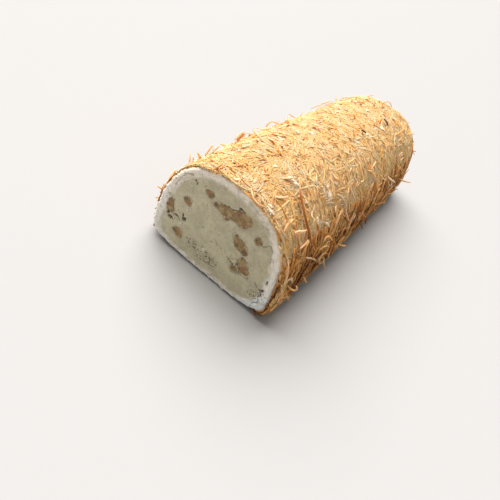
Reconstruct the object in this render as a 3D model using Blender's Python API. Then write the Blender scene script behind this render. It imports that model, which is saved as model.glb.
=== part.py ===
"""Half of a kadayif roll, cut across and laid on its flat base.

A soft nougat core with walnut pieces runs through the roll inside a white skin, and a coat
of short toasted kadayif shreds covers the skin on every side but the cut one. The far end is
closed and rounded. Lengths are in metres, +Z is up, +Y runs from the cut face to the far end
and the origin lies under the middle of the roll.
"""

import math
import random

import bmesh
import bpy
from mathutils import Matrix, Vector, noise

MM = 0.001

# The roll's section, measured on the white skin at the cut: a low wide base under a tall dome.
SKIN_WIDTH = 62.0 * MM
SKIN_HEIGHT = 46.2 * MM
WAIST_HEIGHT = 9.2 * MM
DOME_POWER = 2.52
BASE_POWER = 3.9

# The roll along its length: a little thicker behind the cut, then round at the far end.
SKIN_LENGTH = 190.5 * MM
END_ROUNDING = 21.5 * MM
END_POWER = 2.9
SWELL = 0.058
SWELL_REACH = 0.45

# The layers, from the inside out.
SKIN_THICKNESS = 3.0 * MM
COAT_THICKNESS = 1.3 * MM
BASE_PRESSED_FLAT = 0.4 * MM
COAT_UNEVENNESS = 0.35 * MM
LAYER_GAP = 0.3 * MM

# How finely the layers are divided.
SECTION_POINTS = 28
SWELL_RINGS = 3
END_RINGS = 5
END_LAST_ANGLE = math.radians(80.0)
RUN_OUT = 3.0 * MM

# The shreds that are fused on the coat: three-sided, with the flat side down.
SHRED_COUNT = 250
SHRED_WIDTH = 1.15 * MM
SHRED_RISE = 0.75 * MM
SHRED_SINK = 0.3 * MM
SHRED_LENGTHS = (8.0 * MM, 16.0 * MM)
SHRED_STEPS = 2
LOOSE_SHARE = 0.25
LOOSE_LIFT = 2.2 * MM
SHRED_FLOOR_CLEARANCE = 2.2 * MM
SHRED_SEED = 11

# The walnut pieces: node name, then for each lobe its place on the cut face (across, up from
# the skin's base), its half sizes (across, up), its turn in the face and its half depth.
WALNUTS = {
    "walnut_big": (
        ((-3.6, 34.2), (3.9, 2.7), 5.0, 5.0),
        ((1.8, 33.7), (4.4, 3.3), 10.0, 6.0),
        ((7.3, 35.7), (4.6, 3.5), 28.0, 6.5),
    ),
    "walnut_middle": (
        ((8.8, 26.0), (3.3, 2.6), 20.0, 4.5),
        ((12.9, 24.3), (2.8, 3.0), -35.0, 5.0),
    ),
    "walnut_low": (
        ((14.5, 18.2), (2.1, 3.1), 10.0, 4.5),
        ((15.8, 14.9), (3.6, 2.3), -28.0, 4.5),
    ),
    "walnut_left_low": (
        ((-18.0, 9.2), (3.7, 2.3), -4.0, 4.0),
    ),
    "walnut_left_edge": (
        ((-24.0, 19.4), (2.1, 3.0), 8.0, 4.0),
    ),
    "walnut_left_high": (
        ((-17.5, 26.4), (2.6, 2.3), 15.0, 4.0),
    ),
    "walnut_top": (
        ((-9.5, 36.0), (2.4, 1.7), -8.0, 3.5),
    ),
    "walnut_right": (
        ((16.6, 32.2), (1.9, 1.7), 0.0, 3.5),
    ),
}
WALNUT_CRAG = 0.22
WALNUT_FACETS = 2

# Pits in the nougat at the cut: place on the face, half sizes and half depth, in millimetres.
PITS = (
    ((-17.2, 17.6), (1.1, 1.6), 1.8),
    ((-22.9, 13.4), (1.5, 1.0), 1.3),
    ((11.2, 13.2), (1.3, 1.1), 1.6),
    ((-0.8, 8.0), (2.6, 1.5), 0.9),
    ((-11.5, 28.6), (0.8, 1.6), 1.0),
    ((24.4, 18.0), (0.7, 0.9), 1.0),
)

# Colours are linear RGB.
NOUGAT_COLOUR = (0.60, 0.50, 0.35)
SKIN_COLOUR = (0.80, 0.74, 0.62)
COAT_COLOUR = (0.62, 0.36, 0.13)
WALNUT_COLOUR = (0.30, 0.19, 0.10)


def remove_scene_objects():
    """Empty the scene of whatever a new file holds."""
    for leftover in list(bpy.data.objects):
        bpy.data.objects.remove(leftover, do_unlink=True)


def make_collection(name):
    """Return a new collection in the scene."""
    collection = bpy.data.collections.new(name)
    bpy.context.scene.collection.children.link(collection)
    return collection


def make_material(name, colour, roughness):
    """Return a plain material of one colour and roughness."""
    material = bpy.data.materials.new(name)
    material.use_nodes = True
    shader = material.node_tree.nodes["Principled BSDF"]
    shader.inputs["Base Color"].default_value = (*colour, 1.0)
    shader.inputs["Roughness"].default_value = roughness
    shader.inputs["Metallic"].default_value = 0.0
    return material


def add_object(name, mesh, collection):
    """Return a new object for a mesh, in a collection."""
    added = bpy.data.objects.new(name, mesh)
    collection.objects.link(added)
    return added


def add_bmesh_object(name, shape, collection):
    """Return a new object for a bmesh, which is freed."""
    bmesh.ops.recalc_face_normals(shape, faces=shape.faces)
    mesh = bpy.data.meshes.new(name)
    shape.to_mesh(mesh)
    shape.free()
    return add_object(name, mesh, collection)


def swell_at(y):
    """Return how much larger the section is at y than at the cut."""
    reach = min(max(y / (SWELL_REACH * SKIN_LENGTH), 0.0), 1.0)
    return 1.0 + SWELL * (1.0 - (1.0 - reach) ** 2)


def section_sizes(y, outward):
    """Return the half width, dome height, base depth and waist height of a layer at y.

    outward is how far the layer's surface lies outside the skin's, or inside it if negative.
    """
    swell = swell_at(y)
    waist = WAIST_HEIGHT * swell
    half_width = 0.5 * SKIN_WIDTH * swell + outward
    dome = (SKIN_HEIGHT - WAIST_HEIGHT) * swell + outward
    return half_width, dome, waist + outward, waist


def signed_power(value, power):
    """Return the value's size raised to a power, with its sign kept."""
    return math.copysign(abs(value) ** power, value)


def section_ring(y, outward, shrink):
    """Return the points of one D-shaped section, shrunk about its waist by a factor."""
    half_width, dome, base, waist = section_sizes(y, outward)
    ring = []
    for index in range(SECTION_POINTS):
        angle = 2.0 * math.pi * index / SECTION_POINTS
        across, up = math.cos(angle), math.sin(angle)
        power = DOME_POWER if up >= 0.0 else BASE_POWER
        height = dome if up >= 0.0 else base
        x = half_width * signed_power(across, 2.0 / power)
        z = height * signed_power(up, 2.0 / power)
        ring.append(Vector((x * shrink, y, waist + z * shrink)))
    return ring


def ring_places(outward):
    """Return the places along the roll that take a ring, each with its shrink factor."""
    straight_end = SKIN_LENGTH - END_ROUNDING
    swell_end = SWELL_REACH * SKIN_LENGTH
    places = [(-RUN_OUT, 1.0)]
    places += [(swell_end * step / SWELL_RINGS, 1.0) for step in range(1, SWELL_RINGS + 1)]
    places.append((0.5 * (swell_end + straight_end), 1.0))
    rounding = END_ROUNDING + outward
    for step in range(END_RINGS + 1):
        angle = END_LAST_ANGLE * step / END_RINGS
        along = math.sin(angle) ** (2.0 / END_POWER)
        shrink = math.cos(angle) ** (2.0 / END_POWER)
        places.append((straight_end + rounding * along, shrink))
    return places


def layer_loft(name, outward, collection, unevenness=0.0):
    """Return a closed body that reaches out to a layer's surface, from before the cut.

    The rings are sewn one to the next. unevenness moves the points in or out a little.
    """
    shape = bmesh.new()
    rings = []
    for y, shrink in ring_places(outward):
        ring = []
        for point in section_ring(y, outward, shrink):
            bump = unevenness * noise.noise(point * 160.0)
            middle = Vector((0.0, point.y, section_sizes(y, outward)[3]))
            ring.append(shape.verts.new(point + (point - middle).normalized() * bump))
        rings.append(ring)
    for near, far in zip(rings, rings[1:]):
        for index in range(SECTION_POINTS):
            after = (index + 1) % SECTION_POINTS
            shape.faces.new((near[index], near[after], far[after], far[index]))
    shape.faces.new(rings[0])
    pole_y = SKIN_LENGTH + outward
    pole = shape.verts.new((0.0, pole_y, section_sizes(pole_y, outward)[3]))
    last = rings[-1]
    for index in range(SECTION_POINTS):
        shape.faces.new((last[index], last[(index + 1) % SECTION_POINTS], pole))
    return add_bmesh_object(name, shape, collection)


def box_cutter(name, low, high, collection):
    """Return a box between two corners, to cut with."""
    shape = bmesh.new()
    bmesh.ops.create_cube(shape, size=1.0)
    low, high = Vector(low), Vector(high)
    size = high - low
    bmesh.ops.scale(shape, vec=size, verts=shape.verts)
    bmesh.ops.translate(shape, vec=(low + high) / 2.0, verts=shape.verts)
    return add_bmesh_object(name, shape, collection)


def combine(target, operation, cutter=None, group=None):
    """Cut one object with another, or join a whole collection to it, for good."""
    boolean = target.modifiers.new(operation.lower(), "BOOLEAN")
    boolean.operation = operation
    boolean.solver = "EXACT"
    if group is not None:
        boolean.operand_type = "COLLECTION"
        boolean.collection = group
    else:
        boolean.object = cutter
    settled = bpy.context.evaluated_depsgraph_get()
    result = bpy.data.meshes.new_from_object(target.evaluated_get(settled))
    target.modifiers.clear()
    target.data = result


def body_volume(faces):
    """Return the volume that a closed set of faces holds, negative for a hollow."""
    volume = 0.0
    for face in faces:
        corners = [loop.vert.co for loop in face.loops]
        for left, right in zip(corners[1:], corners[2:]):
            volume += corners[0].dot(left.cross(right)) / 6.0
    return volume


def keep_main_body(target):
    """Drop loose scraps and fill sealed hollows, so that one closed body is left."""
    shape = bmesh.new()
    shape.from_mesh(target.data)
    waiting = set(shape.faces)
    bodies = []
    while waiting:
        edge_of_search = [waiting.pop()]
        body = set(edge_of_search)
        while edge_of_search:
            face = edge_of_search.pop()
            for edge in face.edges:
                for other in edge.link_faces:
                    if other in waiting:
                        waiting.remove(other)
                        body.add(other)
                        edge_of_search.append(other)
        bodies.append(body)
    main = max(bodies, key=body_volume)
    extra = [face for body in bodies if body is not main for face in body]
    bmesh.ops.delete(shape, geom=extra, context="FACES")
    shape.to_mesh(target.data)
    shape.free()


def surface_value(point, outward):
    """Return how far a point is outside a layer's surface: 0 on it, negative inside."""
    half_width, dome, base, waist = section_sizes(point.y, outward)
    rise = point.z - waist
    power = DOME_POWER if rise >= 0.0 else BASE_POWER
    height = dome if rise >= 0.0 else base
    spread = (abs(point.x / half_width) ** power + abs(rise / height) ** power) ** (1.0 / power)
    start = SKIN_LENGTH - END_ROUNDING
    along = max((point.y - start) / (END_ROUNDING + outward), 0.0)
    return spread ** END_POWER + along ** END_POWER - 1.0


def surface_slope(point, outward):
    """Return the gradient of surface_value at a point."""
    step = 0.05 * MM
    value = surface_value(point, outward)
    moved = (Vector((step, 0, 0)), Vector((0, step, 0)), Vector((0, 0, step)))
    return Vector([(surface_value(point + move, outward) - value) / step for move in moved])


def drop_on_surface(point, outward):
    """Return the point moved to a layer's surface along the surface's slope."""
    settled = point.copy()
    for _ in range(6):
        slope = surface_slope(settled, outward)
        settled -= slope * (surface_value(settled, outward) / slope.length_squared)
    return settled


def shred_starts(count):
    """Yield start points spread evenly over the coat, by a sequence that fills gaps first."""
    golden = 1.32471795724474602596
    length = SKIN_LENGTH + END_ROUNDING
    made = 0
    index = 0
    while made < count:
        index += 1
        along = length * ((index / golden) % 1.0)
        angle = 2.0 * math.pi * ((index / golden ** 2) % 1.0)
        middle = Vector((0.0, min(along, SKIN_LENGTH - END_ROUNDING), 2.0 * WAIST_HEIGHT))
        reach = Vector((math.cos(angle), 0.0, math.sin(angle)))
        past = (along - SKIN_LENGTH + END_ROUNDING) / (2.0 * END_ROUNDING)
        if past > 0.0:
            tip = min(past, 1.0) * 0.5 * math.pi
            if (index * 0.618) % 1.0 > math.cos(tip):
                continue
            reach = reach * math.cos(tip) + Vector((0.0, math.sin(tip), 0.0))
        start = drop_on_surface(middle + reach * 0.4 * SKIN_WIDTH, COAT_THICKNESS)
        if start.z > SHRED_FLOOR_CLEARANCE and start.y > 0.0:
            made += 1
            yield start


def shred_path(start, draw):
    """Return the points of one shred along the coat, each with the surface's normal.

    Most shreds lie on the coat from end to end; the far end of a loose one lifts off it.
    """
    normal = surface_slope(start, COAT_THICKNESS).normalized()
    ahead = Vector((0.0, 1.0, 0.0)) - normal * normal.y
    ahead = ahead.normalized() if ahead.length > 0.2 else normal.orthogonal().normalized()
    heading = Matrix.Rotation(draw.uniform(0.0, 2.0 * math.pi), 3, normal) @ ahead
    bend = draw.uniform(-0.5, 0.5)
    step = draw.uniform(*SHRED_LENGTHS) / SHRED_STEPS
    loose = draw.random() < LOOSE_SHARE
    point = start
    path = []
    for index in range(SHRED_STEPS + 1):
        point = drop_on_surface(point, COAT_THICKNESS)
        normal = surface_slope(point, COAT_THICKNESS).normalized()
        lift = LOOSE_LIFT * max(2.0 * index / SHRED_STEPS - 1.0, 0.0) if loose else 0.0
        path.append((point + normal * lift, normal))
        heading = Matrix.Rotation(bend, 3, normal) @ heading
        heading = (heading - normal * normal.dot(heading)).normalized()
        point = point + heading * step
    return path


def add_shred(name, path, scale, collection):
    """Return a shred: a three-sided bar along its path, thinner at its ends."""
    shape = bmesh.new()
    rings = []
    last = len(path) - 1
    for index, (point, normal) in enumerate(path):
        along = path[min(index + 1, last)][0] - path[max(index - 1, 0)][0]
        side = along.cross(normal).normalized()
        size = scale * (0.7 if index in (0, last) else 1.0)
        foot = point - normal * SHRED_SINK
        corners = (
            foot + side * 0.5 * SHRED_WIDTH * size,
            foot - side * 0.5 * SHRED_WIDTH * size,
            point + normal * SHRED_RISE * size,
        )
        rings.append([shape.verts.new(corner) for corner in corners])
    for near, far in zip(rings, rings[1:]):
        for index in range(3):
            after = (index + 1) % 3
            shape.faces.new((near[index], near[after], far[after], far[index]))
    shape.faces.new(rings[0])
    shape.faces.new(rings[-1])
    return add_bmesh_object(name, shape, collection)


def lay_shreds(collection):
    """Add the coat's shreds to a collection, evenly spread and each with its own heading."""
    draw = random.Random(SHRED_SEED)
    for index, start in enumerate(shred_starts(SHRED_COUNT)):
        path = shred_path(start, draw)
        scale = draw.uniform(0.85, 1.15)
        lowest = min(point.z for point, _ in path)
        if lowest > SHRED_FLOOR_CLEARANCE - COAT_THICKNESS:
            add_shred(f"shred_{index:03d}", path, scale, collection)


def remove_collection(collection):
    """Remove a collection with all its objects."""
    for leftover in list(collection.objects):
        bpy.data.objects.remove(leftover, do_unlink=True)
    bpy.data.collections.remove(collection)


def add_lump(name, place, half_sizes, turn, half_depth, extra, facets, crag, collection):
    """Return one craggy lobe centred in the cut plane, all sizes in millimetres.

    extra widens it all round, which makes the pocket that the same lobe lies in.
    """
    shape = bmesh.new()
    bmesh.ops.create_icosphere(shape, subdivisions=facets, radius=1.0)
    sizes = Vector((half_sizes[0], half_depth, half_sizes[1]))
    offset = Vector((place[0], 0.0, place[1]))
    spin = Matrix.Rotation(-math.radians(turn), 3, "Y")
    for vert in shape.verts:
        reach = 1.0 + crag * noise.noise(vert.co * 1.7 + offset)
        stretched = Vector([(size + extra) * way * reach for size, way in zip(sizes, vert.co)])
        vert.co = (spin @ stretched + offset + Vector((0.0, 0.35 * half_depth, 0.0))) * MM
    return add_bmesh_object(name, shape, collection)


def add_walnut(name, lobes, parts, cutters):
    """Return one walnut piece, cut flush with the face, and its pocket's cutters."""
    group = make_collection(name + "_lobes")
    body = None
    pockets = []
    gap = LAYER_GAP / MM
    for index, (place, half_sizes, turn, half_depth) in enumerate(lobes):
        lobe = (place, half_sizes, turn, half_depth)
        home = parts if index == 0 else group
        lump = add_lump(name, *lobe, 0.0, WALNUT_FACETS, WALNUT_CRAG, home)
        body = body or lump
        pocket = f"{name}_pocket_{index}"
        pockets.append(add_lump(pocket, *lobe, gap, WALNUT_FACETS, WALNUT_CRAG, cutters))
    if len(lobes) > 1:
        combine(body, "UNION", group=group)
    remove_collection(group)
    return body, pockets


def hide_cutter(cutter):
    """Mark an object as a cutter, which isn't part of the roll."""
    cutter.hide_render = True
    cutter.display_type = "WIRE"


def finish_part(part, material):
    """Give a part its material and flat facets, in one closed body."""
    keep_main_body(part)
    part.data.materials.clear()
    part.data.materials.append(material)


def centre_on_origin(parts):
    """Move the parts together so that the origin lies under the middle of the roll."""
    corners = [part.matrix_world @ Vector(corner) for part in parts for corner in part.bound_box]
    low = Vector([min(corner[axis] for corner in corners) for axis in range(3)])
    high = Vector([max(corner[axis] for corner in corners) for axis in range(3)])
    shift = Vector((-(low.x + high.x) / 2.0, -(low.y + high.y) / 2.0, -low.z))
    for part in parts:
        part.data.transform(Matrix.Translation(shift))


def main():
    """Build the roll."""
    remove_scene_objects()
    parts = make_collection("kadayif_roll")
    cutters = make_collection("cutters")
    shreds = make_collection("shreds")

    coat_outside = LAYER_GAP + COAT_THICKNESS
    wide = 2.0 * SKIN_WIDTH
    knife = box_cutter("knife", (-wide, -wide, -wide), (wide, 0.0, wide), cutters)
    table_top = BASE_PRESSED_FLAT - coat_outside
    table = box_cutter("table", (-wide, -wide, -wide), (wide, 3.0 * wide, table_top), cutters)

    coat = layer_loft("kadayif_coat", coat_outside, parts, COAT_UNEVENNESS)
    lay_shreds(shreds)
    combine(coat, "UNION", group=shreds)
    remove_collection(shreds)
    combine(coat, "DIFFERENCE", cutter=layer_loft("coat_inside", LAYER_GAP, cutters))
    combine(coat, "DIFFERENCE", cutter=table)

    skin = layer_loft("white_skin", 0.0, parts)
    combine(skin, "DIFFERENCE", cutter=layer_loft("skin_inside", -SKIN_THICKNESS, cutters))

    core = layer_loft("nougat_core", -SKIN_THICKNESS - LAYER_GAP, parts)
    walnuts = []
    for name, lobes in WALNUTS.items():
        walnut, pockets = add_walnut(name, lobes, parts, cutters)
        walnuts.append(walnut)
        for pocket in pockets:
            combine(core, "DIFFERENCE", cutter=pocket)
    for index, (place, half_sizes, half_depth) in enumerate(PITS):
        pit = add_lump(f"pit_{index}", place, half_sizes, 0.0, half_depth, 0.0, 2, 0.3, cutters)
        combine(core, "DIFFERENCE", cutter=pit)

    for part in (coat, skin, core, *walnuts):
        combine(part, "DIFFERENCE", cutter=knife)
    for cutter in cutters.objects:
        hide_cutter(cutter)

    finish_part(coat, make_material("toasted_kadayif", COAT_COLOUR, 0.55))
    finish_part(skin, make_material("white_skin", SKIN_COLOUR, 0.6))
    finish_part(core, make_material("nougat", NOUGAT_COLOUR, 0.6))
    nut_finish = make_material("walnut", WALNUT_COLOUR, 0.5)
    for walnut in walnuts:
        finish_part(walnut, nut_finish)
    centre_on_origin([coat, skin, core, *walnuts])


main()
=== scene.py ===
"""Half a kadayif roll, dressed: cut nougat with walnuts, white skin and a coat of toasted shreds.

Every piece is modelled in the roll's own coordinates, with the cut face in the plane y = 0,
the skin's base at z = 0 and the roll's middle at x = 0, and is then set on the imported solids.
Lengths are in metres.
"""

from __future__ import annotations

import logging
import math
from dataclasses import dataclass, fields
from enum import Enum
from typing import Self

import bmesh
import bpy
import numpy as np
from mathutils import Matrix, Vector, noise

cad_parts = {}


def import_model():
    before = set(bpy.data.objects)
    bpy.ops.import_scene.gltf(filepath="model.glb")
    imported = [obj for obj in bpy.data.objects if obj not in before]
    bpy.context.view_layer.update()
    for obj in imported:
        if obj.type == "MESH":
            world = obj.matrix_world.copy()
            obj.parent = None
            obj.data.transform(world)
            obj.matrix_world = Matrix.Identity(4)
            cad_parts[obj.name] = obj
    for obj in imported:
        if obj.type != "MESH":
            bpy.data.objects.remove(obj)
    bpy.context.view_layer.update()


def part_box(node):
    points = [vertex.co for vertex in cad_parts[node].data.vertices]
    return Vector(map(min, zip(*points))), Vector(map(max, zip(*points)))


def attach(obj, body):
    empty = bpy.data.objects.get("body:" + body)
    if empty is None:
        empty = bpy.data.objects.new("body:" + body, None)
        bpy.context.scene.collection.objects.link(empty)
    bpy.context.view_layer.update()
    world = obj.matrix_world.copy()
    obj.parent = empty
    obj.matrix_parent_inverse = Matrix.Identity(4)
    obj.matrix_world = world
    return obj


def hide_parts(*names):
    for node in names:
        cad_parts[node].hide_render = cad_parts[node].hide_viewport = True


MM = 0.001
BODY = "root"
LAYOUT = "OFBake"
EVEN_SPREAD = 1.324717957244746
log = logging.getLogger("kadayif")

Colour = tuple[float, float, float]


def smooth_step(low: float, high: float, value: np.ndarray) -> np.ndarray:
    """Ease from 0 at one value to 1 at another.

    Args:
        low: The value that gives 0.
        high: The value that gives 1.
        value: The values to ease.

    Returns:
        One number between 0 and 1 for each value.
    """
    share = np.clip((value - low) / (high - low), 0.0, 1.0)
    return share * share * (3.0 - 2.0 * share)


class Pattern(Enum):
    """The patterns of noise: one smooth noise, shifted by another number for each."""

    SWELLS = 1.0
    GRAIN = 2.0
    NUT_EDGE = 3.0
    DRAG = 4.0
    RAGGED = 5.0
    PORES = 6.0
    NUT_FACE = 9.0
    MAT_BUMPS = 12.0
    NUT_COLOUR = 14.0
    RIM_WIDTH = 17.0
    ROUGH = 21.0
    RIM_LUMPS = 31.0
    TOAST_AND_SHADE = 33.0
    FINE_PORES = 37.0
    SWIRL = 40.0
    MAT_EDGE = 44.0
    BARE = 52.0
    TONE = 60.0
    FEW_PORES = 61.0
    STREAKS = 71.0
    SMEARS = 83.0
    CLUMPS = 90.0


def wander(points: np.ndarray, size: float, pattern: Pattern, octaves: int = 1) -> np.ndarray:
    """Read smooth noise at points.

    Args:
        points: Places, one to a row.
        size: How far apart the noise's humps lie, in metres.
        pattern: The pattern to read.
        octaves: How many ever finer layers are summed.

    Returns:
        One number from about -1 to 1 for each point.
    """
    total = np.zeros(len(points))
    weight, reach = 1.0, size
    for _ in range(octaves):
        places = points / reach + pattern.value
        total += weight * np.array([noise.noise(Vector(place)) for place in places])
        weight, reach = weight * 0.5, reach * 0.5
    return total


def unit(vectors: np.ndarray) -> np.ndarray:
    """Return the vectors at length 1, along their last axis."""
    return vectors / np.maximum(np.linalg.norm(vectors, axis=-1, keepdims=True), 1e-12)


def rotated(vectors: np.ndarray, axes: np.ndarray, angles: np.ndarray) -> np.ndarray:
    """Turn each vector by its angle about its own unit axis, which is at right angles to it."""
    beside = np.cross(axes, vectors)
    return vectors * np.cos(angles)[:, None] + beside * np.sin(angles)[:, None]


def near_spot(
    x: np.ndarray, z: np.ndarray, middle: tuple[float, float], low: float, high: float
) -> np.ndarray:
    """Ease from 0 at one distance from a spot to 1 at another, on the cut face."""
    return smooth_step(low, high, np.hypot(x - middle[0], z - middle[1]))


def put(name: str, data: bpy.types.ID) -> bpy.types.Object:
    """Make an object of a mesh, a lamp or a camera and put it in the scene."""
    made = bpy.data.objects.new(name, data)
    bpy.context.scene.collection.objects.link(made)
    return made


@dataclass(frozen=True)
class RollForm:
    """The roll's shape: a D-shaped section that swells behind the cut and rounds at its end."""

    width: float = 62.0 * MM
    height: float = 46.2 * MM
    waist: float = 9.2 * MM
    dome_power: float = 2.52
    base_power: float = 3.9
    length: float = 190.5 * MM
    rounding: float = 21.5 * MM
    end_power: float = 2.9
    swell: float = 0.058
    swell_reach: float = 0.45

    def swell_at(self, y: np.ndarray) -> np.ndarray:
        """Return how much larger the section is at y than at the cut."""
        reach = np.clip(y / (self.swell_reach * self.length), 0.0, 1.0)
        return 1.0 + self.swell * (1.0 - (1.0 - reach) ** 2)

    def sizes(self, y: np.ndarray, outward: np.ndarray) -> tuple[np.ndarray, ...]:
        """Measure a layer's section at y.

        Args:
            y: Places along the roll.
            outward: How far the layer lies outside the skin's surface.

        Returns:
            The half width, dome height, base depth and waist height.
        """
        swell = self.swell_at(y)
        waist = self.waist * swell
        half_width = 0.5 * self.width * swell + outward
        dome = (self.height - self.waist) * swell + outward
        return half_width, dome, waist + outward, waist

    def ring(self, y: float, outward: float, shrink: float, count: int) -> np.ndarray:
        """Trace one section, counterclockwise as seen from the far end.

        Args:
            y: The section's place along the roll.
            outward: How far it lies outside the skin's surface.
            shrink: Its size about its waist, 1 where the end doesn't round it yet.
            count: How many points it has.

        Returns:
            The points, one to a row, spread evenly along the outline.
        """
        angle = np.linspace(0.0, 2.0 * math.pi, 4001)[:-1]
        across, up = np.cos(angle), np.sin(angle)
        half_width, dome, base, waist = self.sizes(np.float64(y), np.float64(outward))
        power = np.where(up >= 0.0, self.dome_power, self.base_power)
        x = half_width * np.sign(across) * np.abs(across) ** (2.0 / power)
        z = np.where(up >= 0.0, dome, base) * np.sign(up) * np.abs(up) ** (2.0 / power)
        step = np.hypot(np.diff(x, append=x[0]), np.diff(z, append=z[0]))
        travelled = np.concatenate([[0.0], np.cumsum(step)])
        wanted = travelled[-1] * np.arange(count) / count
        x = np.interp(wanted, travelled, np.append(x, x[0]))
        z = np.interp(wanted, travelled, np.append(z, z[0]))
        return np.stack([x * shrink, np.full(count, y), waist + z * shrink], axis=1)

    def stations(self, outward: float, straight: int, rounded: int) -> list[tuple[float, float]]:
        """List the places of a layer's rings.

        Args:
            outward: How far the layer lies outside the skin's surface.
            straight: How many rings the straight stretch takes.
            rounded: How many rings the rounded end takes.

        Returns:
            Each ring's place along the roll and its shrink.
        """
        start = self.length - self.rounding
        places = [(start * step / straight, 1.0) for step in range(straight)]
        for step in range(rounded):
            angle = math.radians(86.0) * step / (rounded - 1)
            along = math.sin(angle) ** (2.0 / self.end_power)
            shrink = math.cos(angle) ** (2.0 / self.end_power)
            places.append((start + (self.rounding + outward) * along, shrink))
        return places

    def layer(
        self, outward: float, straight: int, rounded: int, count: int, start: float = 0.0
    ) -> list[np.ndarray]:
        """Trace the rings of a layer.

        Args:
            outward: How far the layer lies outside the skin's surface.
            straight: How many rings the straight stretch takes.
            rounded: How many rings the rounded end takes.
            count: How many points each ring has.
            start: How far behind the cut the first ring lies.

        Returns:
            The rings, from the cut to the far end.
        """
        return [
            self.ring(y + (start if y == 0.0 else 0.0), outward, shrink, count)
            for y, shrink in self.stations(outward, straight, rounded)
        ]

    def tip(self, outward: float) -> np.ndarray:
        """Return the middle point of a layer's closed end, as a row of its own."""
        return np.array([[0.0, self.length + outward, self.waist]])

    def value(self, points: np.ndarray, outward: float) -> np.ndarray:
        """Tell how far points are outside a layer's surface, on a scale of its own.

        Args:
            points: Places, one to a row.
            outward: How far the layer lies outside the skin's surface.

        Returns:
            0 for a point on the surface, a negative number for one inside it.
        """
        half_width, dome, base, waist = self.sizes(points[:, 1], outward)
        rise = points[:, 2] - waist
        power = np.where(rise >= 0.0, self.dome_power, self.base_power)
        depth = np.where(rise >= 0.0, dome, base)
        spread = np.abs(points[:, 0] / half_width) ** power + np.abs(rise / depth) ** power
        along = np.maximum(points[:, 1] - self.length + self.rounding, 0.0)
        along = along / (self.rounding + outward)
        return spread ** (self.end_power / power) + along**self.end_power - 1.0

    def slope(self, points: np.ndarray, outward: float) -> np.ndarray:
        """Return the gradient of value at points, one to a row."""
        step = 0.05 * MM
        here = self.value(points, outward)
        moved = [self.value(points + step * way, outward) for way in np.eye(3)]
        return np.stack([(value - here) / step for value in moved], axis=1)

    def settle(self, points: np.ndarray, outward: float) -> tuple[np.ndarray, np.ndarray]:
        """Drop points on a layer's surface.

        Args:
            points: Places near the surface, one to a row.
            outward: How far the layer lies outside the skin's surface.

        Returns:
            The points on the surface and its outward normals there.
        """
        settled = points.copy()
        for _ in range(3):
            slope = self.slope(settled, outward)
            size = np.maximum((slope * slope).sum(axis=1), 1e-9)
            settled -= slope * (self.value(settled, outward) / size)[:, None]
        return settled, unit(self.slope(settled, outward))


@dataclass(frozen=True)
class Placement:
    """Where the roll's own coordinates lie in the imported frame."""

    origin: tuple[float, float, float]

    @classmethod
    def from_frame(cls) -> Placement:
        """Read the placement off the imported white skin."""
        low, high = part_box("white_skin")
        return cls(((low[0] + high[0]) / 2.0, low[1], low[2]))

    @property
    def floor(self) -> float:
        """Return the height of the supporting surface, in the roll's coordinates."""
        return -self.origin[2]


class MeshKit:
    """Makes objects from arrays of points and faces."""

    def __init__(self, placement: Placement) -> None:
        """Keep the place that every piece is moved to."""
        self.placement = placement

    def piece(
        self,
        name: str,
        points: np.ndarray,
        faces: list[np.ndarray],
        material: bpy.types.Material,
        nodes: tuple[str, ...] = (),
        slot: str = "",
    ) -> bpy.types.Object:
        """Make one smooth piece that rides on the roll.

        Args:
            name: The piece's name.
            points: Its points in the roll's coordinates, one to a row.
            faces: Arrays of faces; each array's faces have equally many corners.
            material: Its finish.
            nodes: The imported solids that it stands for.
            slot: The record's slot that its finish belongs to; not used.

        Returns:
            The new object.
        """
        mesh = bpy.data.meshes.new(name)
        placed = points + np.array(self.placement.origin)
        sizes = np.concatenate([np.full(len(group), group.shape[1]) for group in faces])
        corners = np.concatenate([group.ravel() for group in faces]).astype(np.int32)
        mesh.vertices.add(len(placed))
        mesh.vertices.foreach_set("co", placed.astype(np.float32).ravel())
        mesh.loops.add(len(corners))
        mesh.loops.foreach_set("vertex_index", corners)
        mesh.polygons.add(len(sizes))
        starts = np.concatenate([[0], np.cumsum(sizes)[:-1]]).astype(np.int32)
        mesh.polygons.foreach_set("loop_start", starts)
        mesh.update(calc_edges=True)
        mesh.validate()
        mesh.shade_smooth()
        mesh.materials.append(material)
        made = put(name, mesh)
        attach(made, BODY)
        if nodes:
            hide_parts(*nodes)
        log.info("%s: %d points, %d faces", name, len(placed), len(sizes))
        return made

    @staticmethod
    def mark(piece: bpy.types.Object, name: str, values: np.ndarray) -> None:
        """Store one number for each point of a piece, for its material to read."""
        layer = piece.data.attributes.new(name, "FLOAT", "POINT")
        layer.data.foreach_set("value", values.astype(np.float32).ravel())


def sew(rings: int, count: int) -> np.ndarray:
    """Join rings of points, each laid out after the last, with four-sided faces.

    Args:
        rings: How many rings there are.
        count: How many points each has.

    Returns:
        The faces, facing out if the rings run towards the far end.
    """
    ring = np.arange(rings - 1)[:, None] * count
    here = np.arange(count)[None, :]
    after = (here + 1) % count
    corners = (ring + here, ring + after, ring + after + count, ring + here + count)
    return np.stack(corners, axis=-1).reshape(-1, 4)


def closed(rings: int, count: int) -> list[np.ndarray]:
    """Join rings, and the two middle points that follow them, into a closed body.

    Args:
        rings: How many rings there are.
        count: How many points each has.

    Returns:
        The walls, and the triangles that close the first ring and the last.
    """
    total = rings * count
    first = np.arange(count)
    after = (first + 1) % count
    last = total - count
    return [
        sew(rings, count)[:, ::-1],
        np.stack([first, after, np.full(count, total)], axis=1),
        np.stack([after + last, first + last, np.full(count, total + 1)], axis=1),
    ]


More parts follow.
